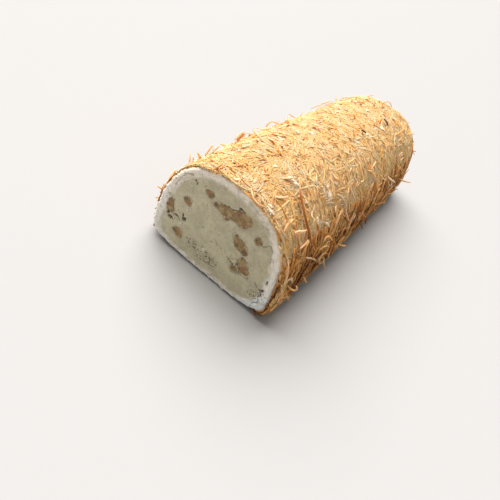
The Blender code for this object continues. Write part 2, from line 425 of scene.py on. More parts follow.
class NodeSheet:
    """A thin helper for laying out a shader's nodes."""

    def __init__(self, tree: bpy.types.NodeTree) -> None:
        """Keep the tree that the nodes go in."""
        self.tree = tree

    def feed(self, socket: bpy.types.NodeSocket, value: object) -> None:
        """Give a socket another socket's output, a colour or a plain value."""
        if isinstance(value, bpy.types.NodeSocket):
            self.tree.links.new(value, socket)
        elif socket.type == "RGBA":
            socket.default_value = (*value, 1.0)
        else:
            socket.default_value = value

    def add(self, kind: str, settings: dict | None = None, **inputs: object) -> bpy.types.Node:
        """Add a node.

        Args:
            kind: The node's type name, without the ShaderNode in front.
            settings: Its own settings by name.
            **inputs: Its inputs by name, with underscores for spaces: a value or a socket.

        Returns:
            The new node.
        """
        node = self.tree.nodes.new("ShaderNode" + kind)
        for name, value in (settings or {}).items():
            setattr(node, name, value)
        for name, value in inputs.items():
            self.feed(node.inputs[name.replace("_", " ")], value)
        return node

    def maths(self, operation: str, first: object, second: object) -> bpy.types.NodeSocket:
        """Return the result of a sum on two values or sockets."""
        node = self.add("Math", {"operation": operation})
        self.feed(node.inputs[0], first)
        self.feed(node.inputs[1], second)
        return node.outputs[0]

    def weighted(self, value: object, weight: float, other: object) -> bpy.types.NodeSocket:
        """Return a value times a weight, plus another value."""
        return self.maths("ADD", self.maths("MULTIPLY", value, weight), other)

    def blend(self, share: object, first: object, second: object) -> bpy.types.NodeSocket:
        """Return the mix of two colours."""
        node = self.add("Mix", {"data_type": "RGBA"})
        sockets = {socket.identifier: socket for socket in (*node.inputs, *node.outputs)}
        for label, value in (("Factor_Float", share), ("A_Color", first), ("B_Color", second)):
            self.feed(sockets[label], value)
        return sockets["Result_Color"]

    def ease(self, value: object, low: object, high: object) -> bpy.types.NodeSocket:
        """Return a value eased from 0 at one number to 1 at another."""
        settings = {"interpolation_type": "SMOOTHSTEP"}
        node = self.add("MapRange", settings, Value=value, From_Min=low, From_Max=high)
        return node.outputs["Result"]

    def attribute(self, name: str) -> bpy.types.NodeSocket:
        """Return a number that the mesh stores at its points."""
        return self.add("Attribute", {"attribute_name": name}).outputs["Fac"]


class SurfaceEffects:
    """The effects that several finishes share, each a node group that is made once."""

    def __init__(self) -> None:
        """Build the groups."""
        self.mottle = self._mottle()
        self.crumb = self._crumb()

    @staticmethod
    def _group(name: str, values: dict[str, float], output: str) -> tuple:
        """Start a node group with named sockets.

        Args:
            name: The group's name.
            values: Its number inputs, which follow a vector, with their default values.
            output: The name of its number output.

        Returns:
            The group's sheet, the sockets that it is given and the socket that it fills.
        """
        tree = bpy.data.node_groups.new(name, "ShaderNodeTree")
        face = tree.interface
        face.new_socket("Vector", in_out="INPUT", socket_type="NodeSocketVector")
        for label, value in values.items():
            socket = face.new_socket(label, in_out="INPUT", socket_type="NodeSocketFloat")
            socket.default_value = value
        face.new_socket(output, in_out="OUTPUT", socket_type="NodeSocketFloat")
        given = tree.nodes.new("NodeGroupInput").outputs
        return NodeSheet(tree), given, tree.nodes.new("NodeGroupOutput").inputs[output]

    def _mottle(self) -> bpy.types.NodeTree:
        """Make the group for blotches of colour: a mask of soft noise with set contrast."""
        values = {"Scale": 200.0, "Detail": 3.0, "Low": 0.35, "High": 0.65}
        sheet, given, mask = self._group("mottle", values, "Mask")
        scale, detail = given["Scale"], given["Detail"]
        cloud = sheet.add("TexNoise", Vector=given["Vector"], Scale=scale, Detail=detail)
        sheet.feed(mask, sheet.ease(cloud.outputs["Fac"], given["Low"], given["High"]))
        return sheet.tree

    def _crumb(self) -> bpy.types.NodeTree:
        """Make the group for a crumbly surface: fine grain over coarser pores, as a height."""
        values = {"Grain Scale": 2600.0, "Pore Scale": 900.0, "Pore Depth": 0.5}
        sheet, given, height = self._group("crumb", values, "Height")
        place = given["Vector"]
        grain = sheet.add("TexNoise", Vector=place, Scale=given["Grain Scale"], Detail=4.0)
        pore = sheet.add("TexVoronoi", Vector=place, Scale=given["Pore Scale"])
        open_pore = sheet.ease(pore.outputs["Distance"], 0.28, 0.05)
        sunk = sheet.maths("MULTIPLY", open_pore, given["Pore Depth"])
        sheet.feed(height, sheet.maths("SUBTRACT", grain.outputs["Fac"], sunk))
        return sheet.tree


class FinishSheet(NodeSheet):
    """The nodes of one material: its shader, its surface's coordinates and the effects."""

    def __init__(self, name: str, roughness: float, effects: SurfaceEffects) -> None:
        """Start a material with one shader."""
        self.material = bpy.data.materials.new(name)
        self.material.use_nodes = True
        super().__init__(self.material.node_tree)
        self.shader = self.tree.nodes["Principled BSDF"]
        self.shader.inputs["Roughness"].default_value = roughness
        self.effects = effects
        self.place = self.add("TexCoord").outputs["Object"]

    def mottle(
        self, scale: float, detail: float, low: float = 0.35, high: float = 0.65
    ) -> bpy.types.NodeSocket:
        """Return a mask of blotches: 0 where its noise is low and 1 where it is high."""
        group = {"node_tree": self.effects.mottle}
        values = {"Scale": scale, "Detail": detail, "Low": low, "High": high}
        return self.add("Group", group, Vector=self.place, **values).outputs["Mask"]

    def glow(self, weight: float, radius: Colour, scale: float) -> None:
        """Let light into the surface and give it little shine."""
        named = {"Weight": weight, "Radius": radius, "Scale": scale}
        for name, value in named.items():
            self.shader.inputs["Subsurface " + name].default_value = value
        self.shader.inputs["Specular IOR Level"].default_value = 0.15

    def finish(
        self, colour: bpy.types.NodeSocket, depth: float, **crumb: float
    ) -> bpy.types.Material:
        """Join the material's colour and its crumbly relief to its shader.

        Args:
            colour: The socket that gives its colour.
            depth: How deep the relief is, in metres.
            **crumb: The relief's own values by name.

        Returns:
            The material.
        """
        relief = self.add("Group", {"node_tree": self.effects.crumb}, Vector=self.place, **crumb)
        bump = self.add("Bump", Height=relief.outputs["Height"], Distance=depth)
        self.feed(self.shader.inputs["Base Color"], colour)
        self.feed(self.shader.inputs["Normal"], bump.outputs["Normal"])
        return self.material


@dataclass(frozen=True)
class NougatFinish:
    """Cut nougat and skin: cream inside, white at the rim, browner near nuts and in one hollow, with
    painted shade in pores, pits and cracks.
    """

    name: str = "nougat"
    cream: Colour = (0.605, 0.55, 0.365)
    dull: Colour = (0.515, 0.46, 0.31)
    warm_white: Colour = (0.97, 0.87, 0.745)
    cool_white: Colour = (0.88, 0.92, 0.92)
    brown: Colour = (0.34, 0.23, 0.12)
    shade: Colour = (0.13, 0.075, 0.035)
    roughness: float = 0.6

    def material(self, effects: SurfaceEffects) -> bpy.types.Material:
        """Make the material."""
        sheet = FinishSheet(self.name, self.roughness, effects)
        grain, blotch = sheet.mottle(1500.0, 3.0, 0.42, 0.66), sheet.mottle(430.0, 4.0, 0.38, 0.66)
        soft = sheet.weighted(grain, -0.30, sheet.mottle(210.0, 5.0))
        colour = sheet.blend(soft, self.dull, self.cream)
        cool = sheet.ease(sheet.weighted(blotch, 0.5, sheet.attribute("cool")), 0.1, 1.2)
        white = sheet.ease(sheet.weighted(blotch, -0.35, sheet.attribute("white")), -0.25, 0.95)
        colour = sheet.blend(white, colour, sheet.blend(cool, self.warm_white, self.cool_white))
        tint = sheet.maths("MULTIPLY", sheet.mottle(1050.0, 3.0, 0.55, 0.72), 0.22)
        colour = sheet.blend(tint, colour, self.brown)
        colour = sheet.blend(sheet.attribute("stain"), colour, self.brown)
        # Painted shade: the recess_shade mark darkens pores, pits and cracks towards the shade colour.
        colour = sheet.blend(sheet.attribute("recess_shade"), colour, self.shade)
        return sheet.finish(colour, 0.25 * MM, Pore_Scale=1300.0, Pore_Depth=0.35)


@dataclass(frozen=True)
class WalnutFinish:
    """Cut walnut: tan flesh, mottled brown and reddish, smeared with nougat along its edge."""

    flesh: Colour = (0.275, 0.165, 0.056)
    tan: Colour = (0.435, 0.30, 0.125)
    brown: Colour = (0.105, 0.062, 0.03)
    red: Colour = (0.31, 0.14, 0.06)
    nougat: Colour = (0.52, 0.44, 0.29)
    roughness: float = 0.5

    def material(self, effects: SurfaceEffects) -> bpy.types.Material:
        """Make the material."""
        sheet = FinishSheet("walnut", self.roughness, effects)
        colour = sheet.blend(sheet.mottle(430.0, 4.0, 0.4, 0.62), self.flesh, self.tan)
        colour = sheet.blend(sheet.attribute("red"), colour, self.red)
        dark = sheet.maths("MULTIPLY", sheet.mottle(720.0, 3.0, 0.52, 0.68), 0.7)
        dark = sheet.maths("MAXIMUM", dark, sheet.attribute("dark"))
        colour = sheet.blend(dark, colour, self.brown)
        edge = sheet.weighted(sheet.mottle(620.0, 4.0, 0.4, 0.7), 0.5, sheet.attribute("edge"))
        colour = sheet.blend(sheet.ease(edge, 0.98, 1.38), colour, self.nougat)
        return sheet.finish(colour, 0.3 * MM, Grain_Scale=1500.0, Pore_Scale=1300.0)


@dataclass(frozen=True)
class ShredFinish:
    """One kind of kadayif shred: its share of the coat, and its palest and darkest colours."""

    name: str
    share: float
    pale: Colour
    toasted: Colour
    roughness: float = 0.55

    def material(self, effects: SurfaceEffects) -> bpy.types.Material:
        """Make the material."""
        sheet = FinishSheet(self.name, self.roughness, effects)
        tone = sheet.weighted(sheet.mottle(700.0, 2.0, 0.3, 0.7), 0.35, sheet.attribute("tone"))
        # The tone mark darkens towards the toasted colour: toasting, with painted shade on deep shreds
        # and low flanks.
        colour = sheet.blend(sheet.ease(tone, 0.0, 1.2), self.pale, self.toasted)
        sheet.glow(0.7, (1.0, 0.6, 0.3), 1.1 * MM)
        return sheet.finish(colour, 0.12 * MM, Grain_Scale=3200.0, Pore_Depth=0.2)


@dataclass(frozen=True)
class MatFinish:
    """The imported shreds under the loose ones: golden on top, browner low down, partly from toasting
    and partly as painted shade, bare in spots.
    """

    gold: Colour = (0.95, 0.56, 0.20)
    orange: Colour = (0.90, 0.44, 0.11)
    brown: Colour = (0.085, 0.037, 0.016)
    white: Colour = (0.90, 0.72, 0.46)
    roughness: float = 0.7

    def material(self, effects: SurfaceEffects) -> bpy.types.Material:
        """Make the material."""
        sheet = FinishSheet("packed_shreds", self.roughness, effects)
        colour = sheet.blend(sheet.mottle(500.0, 4.0), self.gold, self.orange)
        # Towards dark brown by the toast_and_shade mark: toasting, and painted shade in the gaps low
        # on the flanks.
        colour = sheet.blend(sheet.attribute("toast_and_shade"), colour, self.brown)
        colour = sheet.blend(sheet.attribute("bare"), colour, self.white)
        sheet.glow(0.5, (1.0, 0.7, 0.4), 1.5 * MM)
        return sheet.finish(colour, 0.4 * MM, Pore_Scale=800.0, Pore_Depth=0.8)


@dataclass(frozen=True)
class Spot:
    """A round patch on the cut face, in millimetres."""

    across: float
    up: float
    reach: float

    def strength(self, x: np.ndarray, z: np.ndarray) -> np.ndarray:
        """Return 1 in the patch's middle and 0 outside it, for places in metres."""
        away = np.hypot(x / MM - self.across, z / MM - self.up) / self.reach
        return smooth_step(1.15, 0.45, away)


@dataclass(frozen=True)
class WalnutPiece:
    """A walnut piece cut flush with the face: its outline on the face, in millimetres."""

    name: str
    corners: tuple[tuple[float, float], ...]
    half_depth: float
    dark: tuple[Spot, ...] = ()
    red: tuple[Spot, ...] = ()
    ragged: float = 0.09
    rings: int = 12
    count: int = 96
    torn: float = 0.12 * MM
    lip: float = 0.1 * MM
    behind: float = 0.8 * MM

    @property
    def middle(self) -> np.ndarray:
        """Return the middle of the piece on the face, across and up, in metres."""
        corners = np.array(self.corners)
        return (corners.min(axis=0) + corners.max(axis=0)) / 2.0 * MM

    def outline(self) -> np.ndarray:
        """Return how far the edge lies from the middle, for each of the outline's angles."""
        angle = 2.0 * math.pi * np.arange(self.count) / self.count
        ahead = np.stack([np.cos(angle), np.sin(angle)], axis=1)[:, None, :]
        corners = np.array(self.corners) * MM - self.middle
        side = np.roll(corners, -1, axis=0) - corners
        across = ahead[..., 0] * side[:, 1] - ahead[..., 1] * side[:, 0]
        across = np.where(np.abs(across) < 1e-9, 1e-9, across)
        reach = (corners[:, 0] * side[:, 1] - corners[:, 1] * side[:, 0]) / across
        along = (corners[:, 0] * ahead[..., 1] - corners[:, 1] * ahead[..., 0]) / across
        crossed = (along >= -1e-6) & (along <= 1.0 + 1e-6) & (reach > 0.0)
        edge = np.where(crossed, reach, 0.0).max(axis=1)
        for _ in range(2):
            edge = (np.roll(edge, 1) + 2.0 * edge + np.roll(edge, -1)) / 4.0
        way = np.concatenate([ahead[:, 0, :], np.full((self.count, 1), self.middle[0] / MM)], 1)
        return edge * (1.0 + self.ragged * wander(way, 0.3, Pattern.NUT_EDGE, 3))

    def nearness(self, x: np.ndarray, z: np.ndarray) -> np.ndarray:
        """Return how far places on the face are from the middle: 1 on the edge."""
        dx, dz = x - self.middle[0], z - self.middle[1]
        outline = np.append(self.outline(), self.outline()[0])
        turn = (np.arctan2(dz, dx) / (2.0 * math.pi)) % 1.0
        edge = np.interp(turn * self.count, np.arange(self.count + 1), outline)
        return np.hypot(dx, dz) / edge

    @property
    def depth(self) -> float:
        """Return how deep the piece goes, in metres."""
        return 1.35 * self.half_depth * MM

    def ring(self, outline: np.ndarray, share: float, y: float = 0.0) -> np.ndarray:
        """Trace the outline at a share of its size, at one depth, one point to a row."""
        angle = 2.0 * math.pi * np.arange(self.count) / self.count
        x = self.middle[0] + outline * share * np.cos(angle)
        z = self.middle[1] + outline * share * np.sin(angle)
        return np.stack([x, np.full(self.count, y), z], axis=1)

    def build(self, kit: MeshKit, material: bpy.types.Material) -> bpy.types.Object:
        """Make the piece: a flush, slightly torn face over a rounded back.

        Args:
            kit: Makes the object.
            material: The walnut's finish.

        Returns:
            The piece.
        """
        outline = self.outline()
        shares = np.linspace(1.0, 0.0, self.rings + 1)[:-1]
        front = [self.ring(outline, share) for share in shares]
        for row, share in zip(front, shares):
            torn = self.torn * wander(row, 1.7 * MM, Pattern.NUT_FACE, 3)
            lip = self.lip * smooth_step(0.85, 1.0, share)
            row[:, 1] = ground(row) + lip + torn
        deep = [self.depth * math.sqrt(1.0 - share * share) for share in shares[::2]]
        back = [
            self.ring(outline, share, self.behind + depth)
            for share, depth in zip(shares[::2], deep)
        ]
        centre = front[-1].mean(axis=0, keepdims=True)
        rear = np.array([[self.middle[0], self.behind + self.depth, self.middle[1]]])
        rings = front[::-1] + back
        points = np.concatenate([*rings, centre, rear])
        faces = closed(len(rings), self.count)
        made = kit.piece(self.name + "_piece", points, faces, material, (self.name,), "walnut")
        edge = np.repeat(shares[::-1], self.count)
        hidden = np.ones(len(back) * self.count)
        kit.mark(made, "edge", np.concatenate([edge, hidden, (0.0, 1.0)]))
        x, z = points[:, 0], points[:, 2]
        grain = 0.4 * wander(points * (1.0, 0.0, 1.0), 1.1 * MM, Pattern.NUT_COLOUR, 2)
        for label, spots in (("dark", self.dark), ("red", self.red)):
            strength = np.zeros(len(points))
            for spot in spots:
                strength = np.maximum(strength, spot.strength(x, z))
            kit.mark(made, label, np.clip(strength * (0.7 + 1.6 * grain), 0.0, 0.9))
        return made


def ground(points: np.ndarray) -> np.ndarray:
    """Return how far the cut lies behind the flat face: its swells and the knife's drag."""
    swells = 0.25 * MM * wander(points, 14.0 * MM, Pattern.SWELLS)
    grain = 0.07 * MM * wander(points, 2.2 * MM, Pattern.GRAIN, 2)
    dragged = points @ np.array([[0.94, 0.0, 0.0], [0.0, 1.0, 0.0], [2.4, 0.0, 7.0]])
    return swells + grain + 0.06 * MM * wander(dragged, 3.5 * MM, Pattern.DRAG, 2)


@dataclass(frozen=True)
class Pit:
    """A hollow in the cut face, in millimetres."""

    across: float
    up: float
    half_across: float
    half_up: float
    depth: float


@dataclass(frozen=True)
class Crack:
    """A crack in the cut face: its corners, width and depth in millimetres.

    A crack whose broken is 0 runs on without a break, and one whose broken is 1 is half gone.
    """

    corners: tuple[tuple[float, float], ...]
    width: float
    depth: float
    broken: float = 0.6


PITS = tuple(
    Pit(*sizes)
    for sizes in (
        (-17.0, 17.2, 0.9, 0.8, 2.6), (-17.9, 18.9, 0.35, 0.9, 1.6), (-16.5, 17.9, 0.5, 0.4, 1.8),
        (-23.4, 13.6, 1.5, 0.6, 1.6), (-25.2, 15.2, 0.6, 0.7, 1.3), (-20.9, 16.5, 0.9, 0.35, 1.4),
        (12.2, 12.9, 1.4, 1.1, 0.45), (27.1, 18.1, 0.45, 0.75, 1.8), (26.0, 12.9, 0.45, 0.4, 1.3),
        (27.2, 13.1, 0.65, 0.7, 1.5), (27.4, 10.8, 0.4, 0.6, 1.2), (-17.3, 37.3, 0.5, 0.4, 0.9),
        (-16.4, 36.5, 0.4, 0.5, 0.9), (-7.4, 20.6, 0.35, 0.4, 0.6), (5.0, 39.3, 0.8, 0.5, 1.1),
        (-10.7, 8.5, 0.6, 0.2, 0.8), (-5.8, 8.7, 0.4, 0.3, 1.0), (-4.4, 11.4, 0.3, 0.2, 0.8),
        (-1.9, 10.3, 0.35, 0.25, 0.8), (0.9, 8.4, 0.35, 0.3, 1.0), (3.0, 9.2, 0.3, 0.2, 0.8),
        (-0.4, 5.5, 0.6, 0.2, 0.9), (1.9, 5.9, 0.4, 0.2, 0.8), (-2.9, 5.2, 0.35, 0.2, 0.8),
    )
)


@dataclass
class CutFace:
    """The relief of the cut: knife drag, pores, pits, cracks and the beds of the nuts."""

    walnuts: tuple[WalnutPiece, ...]
    pits: tuple[Pit, ...] = PITS
    cracks: tuple[Crack, ...] = (
        Crack(
            (
                (-25.4, 29.5), (-24.5, 32.7), (-23.3, 35.1),
                (-21.7, 37.4), (-19.9, 38.5), (-19.0, 38.4),
            ),
            0.17,
            0.55,
            0.1,
        ),
        Crack(((-18.8, 36.8), (-17.5, 34.0), (-17.0, 31.8)), 0.13, 0.45),
        Crack(((-0.4, 36.9), (1.3, 36.4), (4.0, 37.9), (5.0, 39.4), (6.7, 39.1)), 0.16, 0.7, 0.45),
        Crack(((18.0, 31.2), (19.6, 31.8), (21.2, 34.0), (22.4, 33.2)), 0.12, 0.55, 0.75),
        Crack(((22.4, 33.2), (23.4, 31.6), (23.8, 30.3)), 0.14, 0.7, 0.6),
        Crack(((21.8, 14.5), (23.0, 14.1), (24.0, 13.2), (26.3, 12.8), (27.4, 11.1)), 0.15, 0.7, 0.75),
        Crack(((15.5, 12.9), (17.4, 12.8), (19.6, 13.4)), 0.12, 0.5),
        Crack(((25.3, 5.2), (26.6, 5.3), (27.8, 6.4)), 0.15, 0.7, 0.5),
    )
    band: float = 2.7
    hollow: tuple[float, float] = (12.2, 12.9)

    def bed(self, x: np.ndarray, z: np.ndarray) -> tuple[np.ndarray, np.ndarray]:
        """Measure the hollows that the nuts lie in.

        Args:
            x: Places across the face.
            z: Places up it.

        Returns:
            How deep the beds are there, and how stained the nougat is near them.
        """
        depth, stain = np.zeros(len(x)), np.zeros(len(x))
        for nut in self.walnuts:
            near = nut.nearness(x, z)
            inner = np.sqrt(np.clip(1.0 - near * near, 0.0, 1.0))
            reach = 0.9 * MM + nut.depth * inner
            depth = np.maximum(depth, np.where(near < 0.97, reach, 0.0))
            stain = np.maximum(stain, 0.38 * smooth_step(1.4, 1.0, near))
        return depth, stain

    @staticmethod
    def inside(form: RollForm, points: np.ndarray) -> np.ndarray:
        """Return how far places on the face lie inside its outline, in millimetres."""
        slope = np.linalg.norm(form.slope(points, 0.0)[:, [0, 2]], axis=1)
        return -form.value(points, 0.0) / np.maximum(slope, 1.0) / MM

    def whiteness(self, form: RollForm, points: np.ndarray) -> np.ndarray:
        """Tell how far places on the face belong to the white rim.

        Args:
            form: The roll's shape.
            points: Places on the flat face, one to a row.

        Returns:
            1 in the white rim and 0 in the cream middle.
        """
        inside = self.inside(form, points)
        x, z = points[:, 0] / MM, points[:, 2] / MM
        sides = smooth_step(12.0, 27.0, np.abs(x)) * smooth_step(40.0, 30.0, z)
        corner = near_spot(x, z, (28.0, 5.0), 8.0, 2.0)
        under = smooth_step(4.0, 1.5, z) * smooth_step(25.0, 18.0, x)
        width = self.band + 1.4 * sides + 2.4 * corner - 0.6 * under
        width = width + 1.2 * wander(points, 5.0 * MM, Pattern.RIM_WIDTH, 3)
        layered = np.stack([inside / 0.9, x / 12.0, z / 12.0], axis=1)
        streaks = wander(layered, 1.0, Pattern.STREAKS, 2) * smooth_step(9.0, 3.0, inside)
        return np.clip(smooth_step(2.6, -2.4, inside - width) + 0.3 * streaks, 0.0, 1.0)

    @staticmethod
    def coolness(points: np.ndarray) -> np.ndarray:
        """Return how cool the white is at places: most at the low right corner."""
        x, z = points[:, 0] / MM, points[:, 2] / MM
        corner = near_spot(x, z, (28.0, 2.0), 16.0, 3.0)
        return np.maximum(0.4 * smooth_step(38.0, 14.0, z), corner)

    def relief(self, points: np.ndarray) -> tuple[np.ndarray, np.ndarray, np.ndarray]:
        """Measure the face's relief at places on it.

        Args:
            points: Places on the flat face, one to a row.

        Returns:
            How far each lies behind the flat face, how much painted shade it gets in pores, pits and
            cracks, and how stained it is.
        """
        x, z = points[:, 0], points[:, 2]
        depth = ground(points)
        rough = smooth_step(0.1, 0.6, 0.6 * wander(points, 7.0 * MM, Pattern.ROUGH) + self.torn(x, z))
        pores = wander(points, 0.8 * MM, Pattern.PORES, 2)
        fine = wander(points, 0.5 * MM, Pattern.FINE_PORES, 2)
        fewer = wander(points, 2.3 * MM, Pattern.FEW_PORES)
        start = 0.62 - 0.27 * rough
        porous = smooth_step(0.0, 0.2, np.maximum(pores, fine) + 0.35 * fewer - start)
        depth += (0.2 + 0.2 * rough) * MM * porous
        # Painted shade in the pores, darker where the face is torn.
        shade = (0.4 + 0.45 * rough) * porous
        for pit in self.pits:
            wide = np.hypot(
                (x / MM - pit.across) / pit.half_across, (z / MM - pit.up) / pit.half_up
            )
            hole = smooth_step(1.3, 0.6, wide + 0.5 * pores + 0.6 * fine)
            depth += pit.depth * MM * hole
            # Painted shade in each pit, darker the deeper it goes.
            shade = np.maximum(shade, hole * min(pit.depth / 1.2, 1.0))
        for crack in self.cracks:
            slit = self.slit(x / MM, z / MM, crack, pores)
            start = 1.1 * crack.broken - 1.2
            slit = slit * smooth_step(start, start + 0.5, fewer + pores)
            depth += crack.depth * MM * slit
            # Painted shade in each crack, darker the deeper it goes.
            shade = np.maximum(shade, min(crack.depth / 1.3, 1.0) * slit)
        bed, stain = self.bed(x, z)
        stain = np.maximum(stain, 0.35 * rough * smooth_step(0.0, 0.6, pores))
        hollow = near_spot(x / MM, z / MM, self.hollow, 3.0, 1.0)
        stain = np.maximum(stain, 0.75 * hollow)
        return np.maximum(depth, bed), shade, stain

    @staticmethod
    def torn(x: np.ndarray, z: np.ndarray) -> np.ndarray:
        """Return how torn the face is: most low in its middle, at its left and its low corner."""
        x, z = x / MM, z / MM
        low = smooth_step(9.0, 4.0, np.hypot((x + 4.5) * 0.75, (z - 8.5) * 1.7))
        left = 0.6 * smooth_step(6.0, 2.0, np.hypot(x + 22.0, (z - 15.0) * 0.9))
        corner = near_spot(x, z, (26.0, 8.0), 7.0, 2.0)
        nuts = near_spot(x, z, (12.0, 14.0), 6.0, 2.0)
        return 0.62 * np.max([low, left, corner, nuts], axis=0)

    @staticmethod
    def slit(x: np.ndarray, z: np.ndarray, crack: Crack, rough: np.ndarray) -> np.ndarray:
        """Return 1 inside a crack and 0 beside it, for places in millimetres."""
        nearest = np.full(len(x), 1e3)
        for (ax, az), (bx, bz) in zip(crack.corners, crack.corners[1:]):
            length = math.hypot(bx - ax, bz - az)
            along = ((x - ax) * (bx - ax) + (z - az) * (bz - az)) / length**2
            along = np.clip(along, 0.0, 1.0)
            away = np.hypot(x - ax - along * (bx - ax), z - az - along * (bz - az))
            nearest = np.minimum(nearest, away)
        return smooth_step(crack.width * 1.7, crack.width * 0.5, nearest + 0.3 * rough)


@dataclass
class NougatCore:
    """The nougat that runs through the roll, with its cut face."""

    form: RollForm
    face: CutFace
    inset: float = 3.0 * MM
    behind: float = 1.8 * MM
    count: int = 400
    face_rings: int = 96

    def build(self, kit: MeshKit, material: bpy.types.Material) -> bpy.types.Object:
        """Make the core: a finely divided face over a plain body.

        Args:
            kit: Makes the object.
            material: The nougat's finish.

        Returns:
            The piece.
        """
        rim = self.form.ring(0.0, -self.inset, 1.0, self.count)
        middle = np.array([0.0, 0.0, 0.42 * self.form.height])
        shares = np.sqrt(np.linspace(0.0, 1.0, self.face_rings + 1)[1:])
        face = np.concatenate([middle + (rim - middle) * share for share in shares])
        face = np.concatenate([face, middle[None, :]])
        white = self.face.whiteness(self.form, face)
        cool = self.face.coolness(face)
        depth, shade, stain = self.face.relief(face)
        face[:, 1] += depth
        body = self.form.layer(-self.inset, 4, 6, self.count, self.behind)
        tip = self.form.tip(-self.inset)
        points = np.concatenate([face[:-1], *body, face[-1:], tip])
        faces = closed(self.face_rings + len(body), self.count)
        made = kit.piece("nougat", points, faces, material, ("nougat_core",), "nougat")
        plain = np.zeros(len(body) * self.count)
        # The recess_shade mark carries the painted shade of the pores, pits and cracks.
        marks = {"recess_shade": shade, "stain": stain, "white": white, "cool": cool}
        for label, values in marks.items():
            kit.mark(made, label, np.concatenate([values[:-1], plain, values[-1:], (0.0,)]))
        return made


@dataclass
class WhiteSkin:
    """The white skin round the nougat, with its soft cut rim smeared outward by the knife."""

    form: RollForm
    face: CutFace
    thickness: float = 3.0 * MM
    bulge: float = 0.25 * MM
    smear: float = 0.55 * MM
    sunk: float = -0.5 * MM
    behind: float = 1.8 * MM
    count: int = 400
    rim_rings: int = 22

    def build(self, kit: MeshKit, material: bpy.types.Material) -> bpy.types.Object:
        """Make the skin: inside wall, rim and outside wall in one closed sheet.

        Args:
            kit: Makes the object.
            material: The skin's finish.

        Returns:
            The piece.
        """
        inside = self.form.layer(-self.thickness, 3, 6, self.count, self.behind)
        outside = [self.form.ring(y * MM, 0.0, 1.0, self.count) for y in (1.6, 4.0)]
        outside += self.form.layer(self.sunk, 8, 8, self.count)[1:]
        shares = np.linspace(0.0, 1.0, self.rim_rings)
        edges = [-self.thickness * (1.0 - share) for share in shares]
        flat = np.concatenate([self.form.ring(0.0, edge, 1.0, self.count) for edge in edges])
        depth, shade, stain = self.face.relief(flat)
        white = self.face.whiteness(self.form, flat)
        share = np.repeat(shares, self.count)
        crown = 4.0 * share * (1.0 - share)
        lumps = wander(flat, 2.0 * MM, Pattern.RIM_LUMPS, 3)
        rim = flat.copy()
        outward = self.form.settle(flat, 0.0)[1] * (1.0, 0.0, 1.0)
        edge_row = flat[-self.count :]
        ragged = 1.0 + 1.2 * wander(edge_row, 1.6 * MM, Pattern.RAGGED, 3)
        ragged = ragged + 2.0 * smooth_step(0.35, 0.7, wander(edge_row, 2.6 * MM, Pattern.SMEARS, 2))
        rim += outward * (self.smear * share**2 * np.tile(ragged, self.rim_rings))[:, None]
        edge = 0.7 * MM * smooth_step(0.7, 1.0, share) ** 2
        rim[:, 1] += depth - self.bulge * crown * (0.6 + 1.6 * lumps) + edge
        rim[:, 2] = np.maximum(rim[:, 2], kit.placement.floor)
        tips = (self.form.tip(-self.thickness), self.form.tip(self.sunk))
        points = np.concatenate([*inside[::-1], rim, *outside, *tips])
        faces = closed(len(inside) + self.rim_rings + len(outside), self.count)
        made = kit.piece("skin", points, faces, material, ("white_skin",), "white_skin")
        before = np.ones(len(inside) * self.count)
        after = np.ones(len(outside) * self.count + 2)
        # The rim gets four fifths of the face's painted shade in its pores, pits and cracks.
        for label, values in (("recess_shade", 0.8 * shade), ("stain", stain)):
            kit.mark(made, label, np.concatenate([0.0 * before, values, 0.0 * after]))
        kit.mark(made, "white", np.concatenate([before, white, after]))
        kit.mark(made, "cool", self.face.coolness(points))
        return made


class Tone(Enum):
    """The kinds of shred, from the palest to the darkest: the darker kinds stand for toasting and also
    for painted shade on deep shreds and low flanks.
    """

    CREAM = ShredFinish("cream_shreds", 0.18, (0.97, 0.585, 0.355), (0.94, 0.49, 0.205))
    STRAW = ShredFinish("straw_shreds", 0.22, (0.95, 0.515, 0.24), (0.89, 0.415, 0.14))
    GOLDEN = ShredFinish("golden_shreds", 0.20, (0.90, 0.44, 0.155), (0.77, 0.335, 0.10))
    HONEY = ShredFinish("honey_shreds", 0.16, (0.76, 0.37, 0.11), (0.50, 0.21, 0.052))
    AMBER = ShredFinish("amber_shreds", 0.238, (0.42, 0.178, 0.05), (0.165, 0.06, 0.019))
    BURNT = ShredFinish("burnt_shreds", 0.002, (0.13, 0.05, 0.018), (0.045, 0.02, 0.012))


class Rows:
    """Arrays whose rows belong together."""

    def take(self, chosen: np.ndarray) -> Self:
        """Return some of the rows."""
        return type(self)(*(getattr(self, part.name)[chosen] for part in fields(self)))


@dataclass
class Bundles(Rows):
    """Bundles of shreds: where each starts and which way it runs, and what its shreds share."""

    sizes: np.ndarray
    centre: np.ndarray
    normal: np.ndarray
    heading: np.ndarray
    level: np.ndarray
    toast_and_shade: np.ndarray
    clump: np.ndarray
    tone: np.ndarray
    at_rim: np.ndarray


@dataclass
class Shreds(Rows):
    """Laid shreds: one row of points, normals and half sizes for each."""

    points: np.ndarray
    normals: np.ndarray
    half_wide: np.ndarray
    half_high: np.ndarray
    tone: np.ndarray
    toast_and_shade: np.ndarray


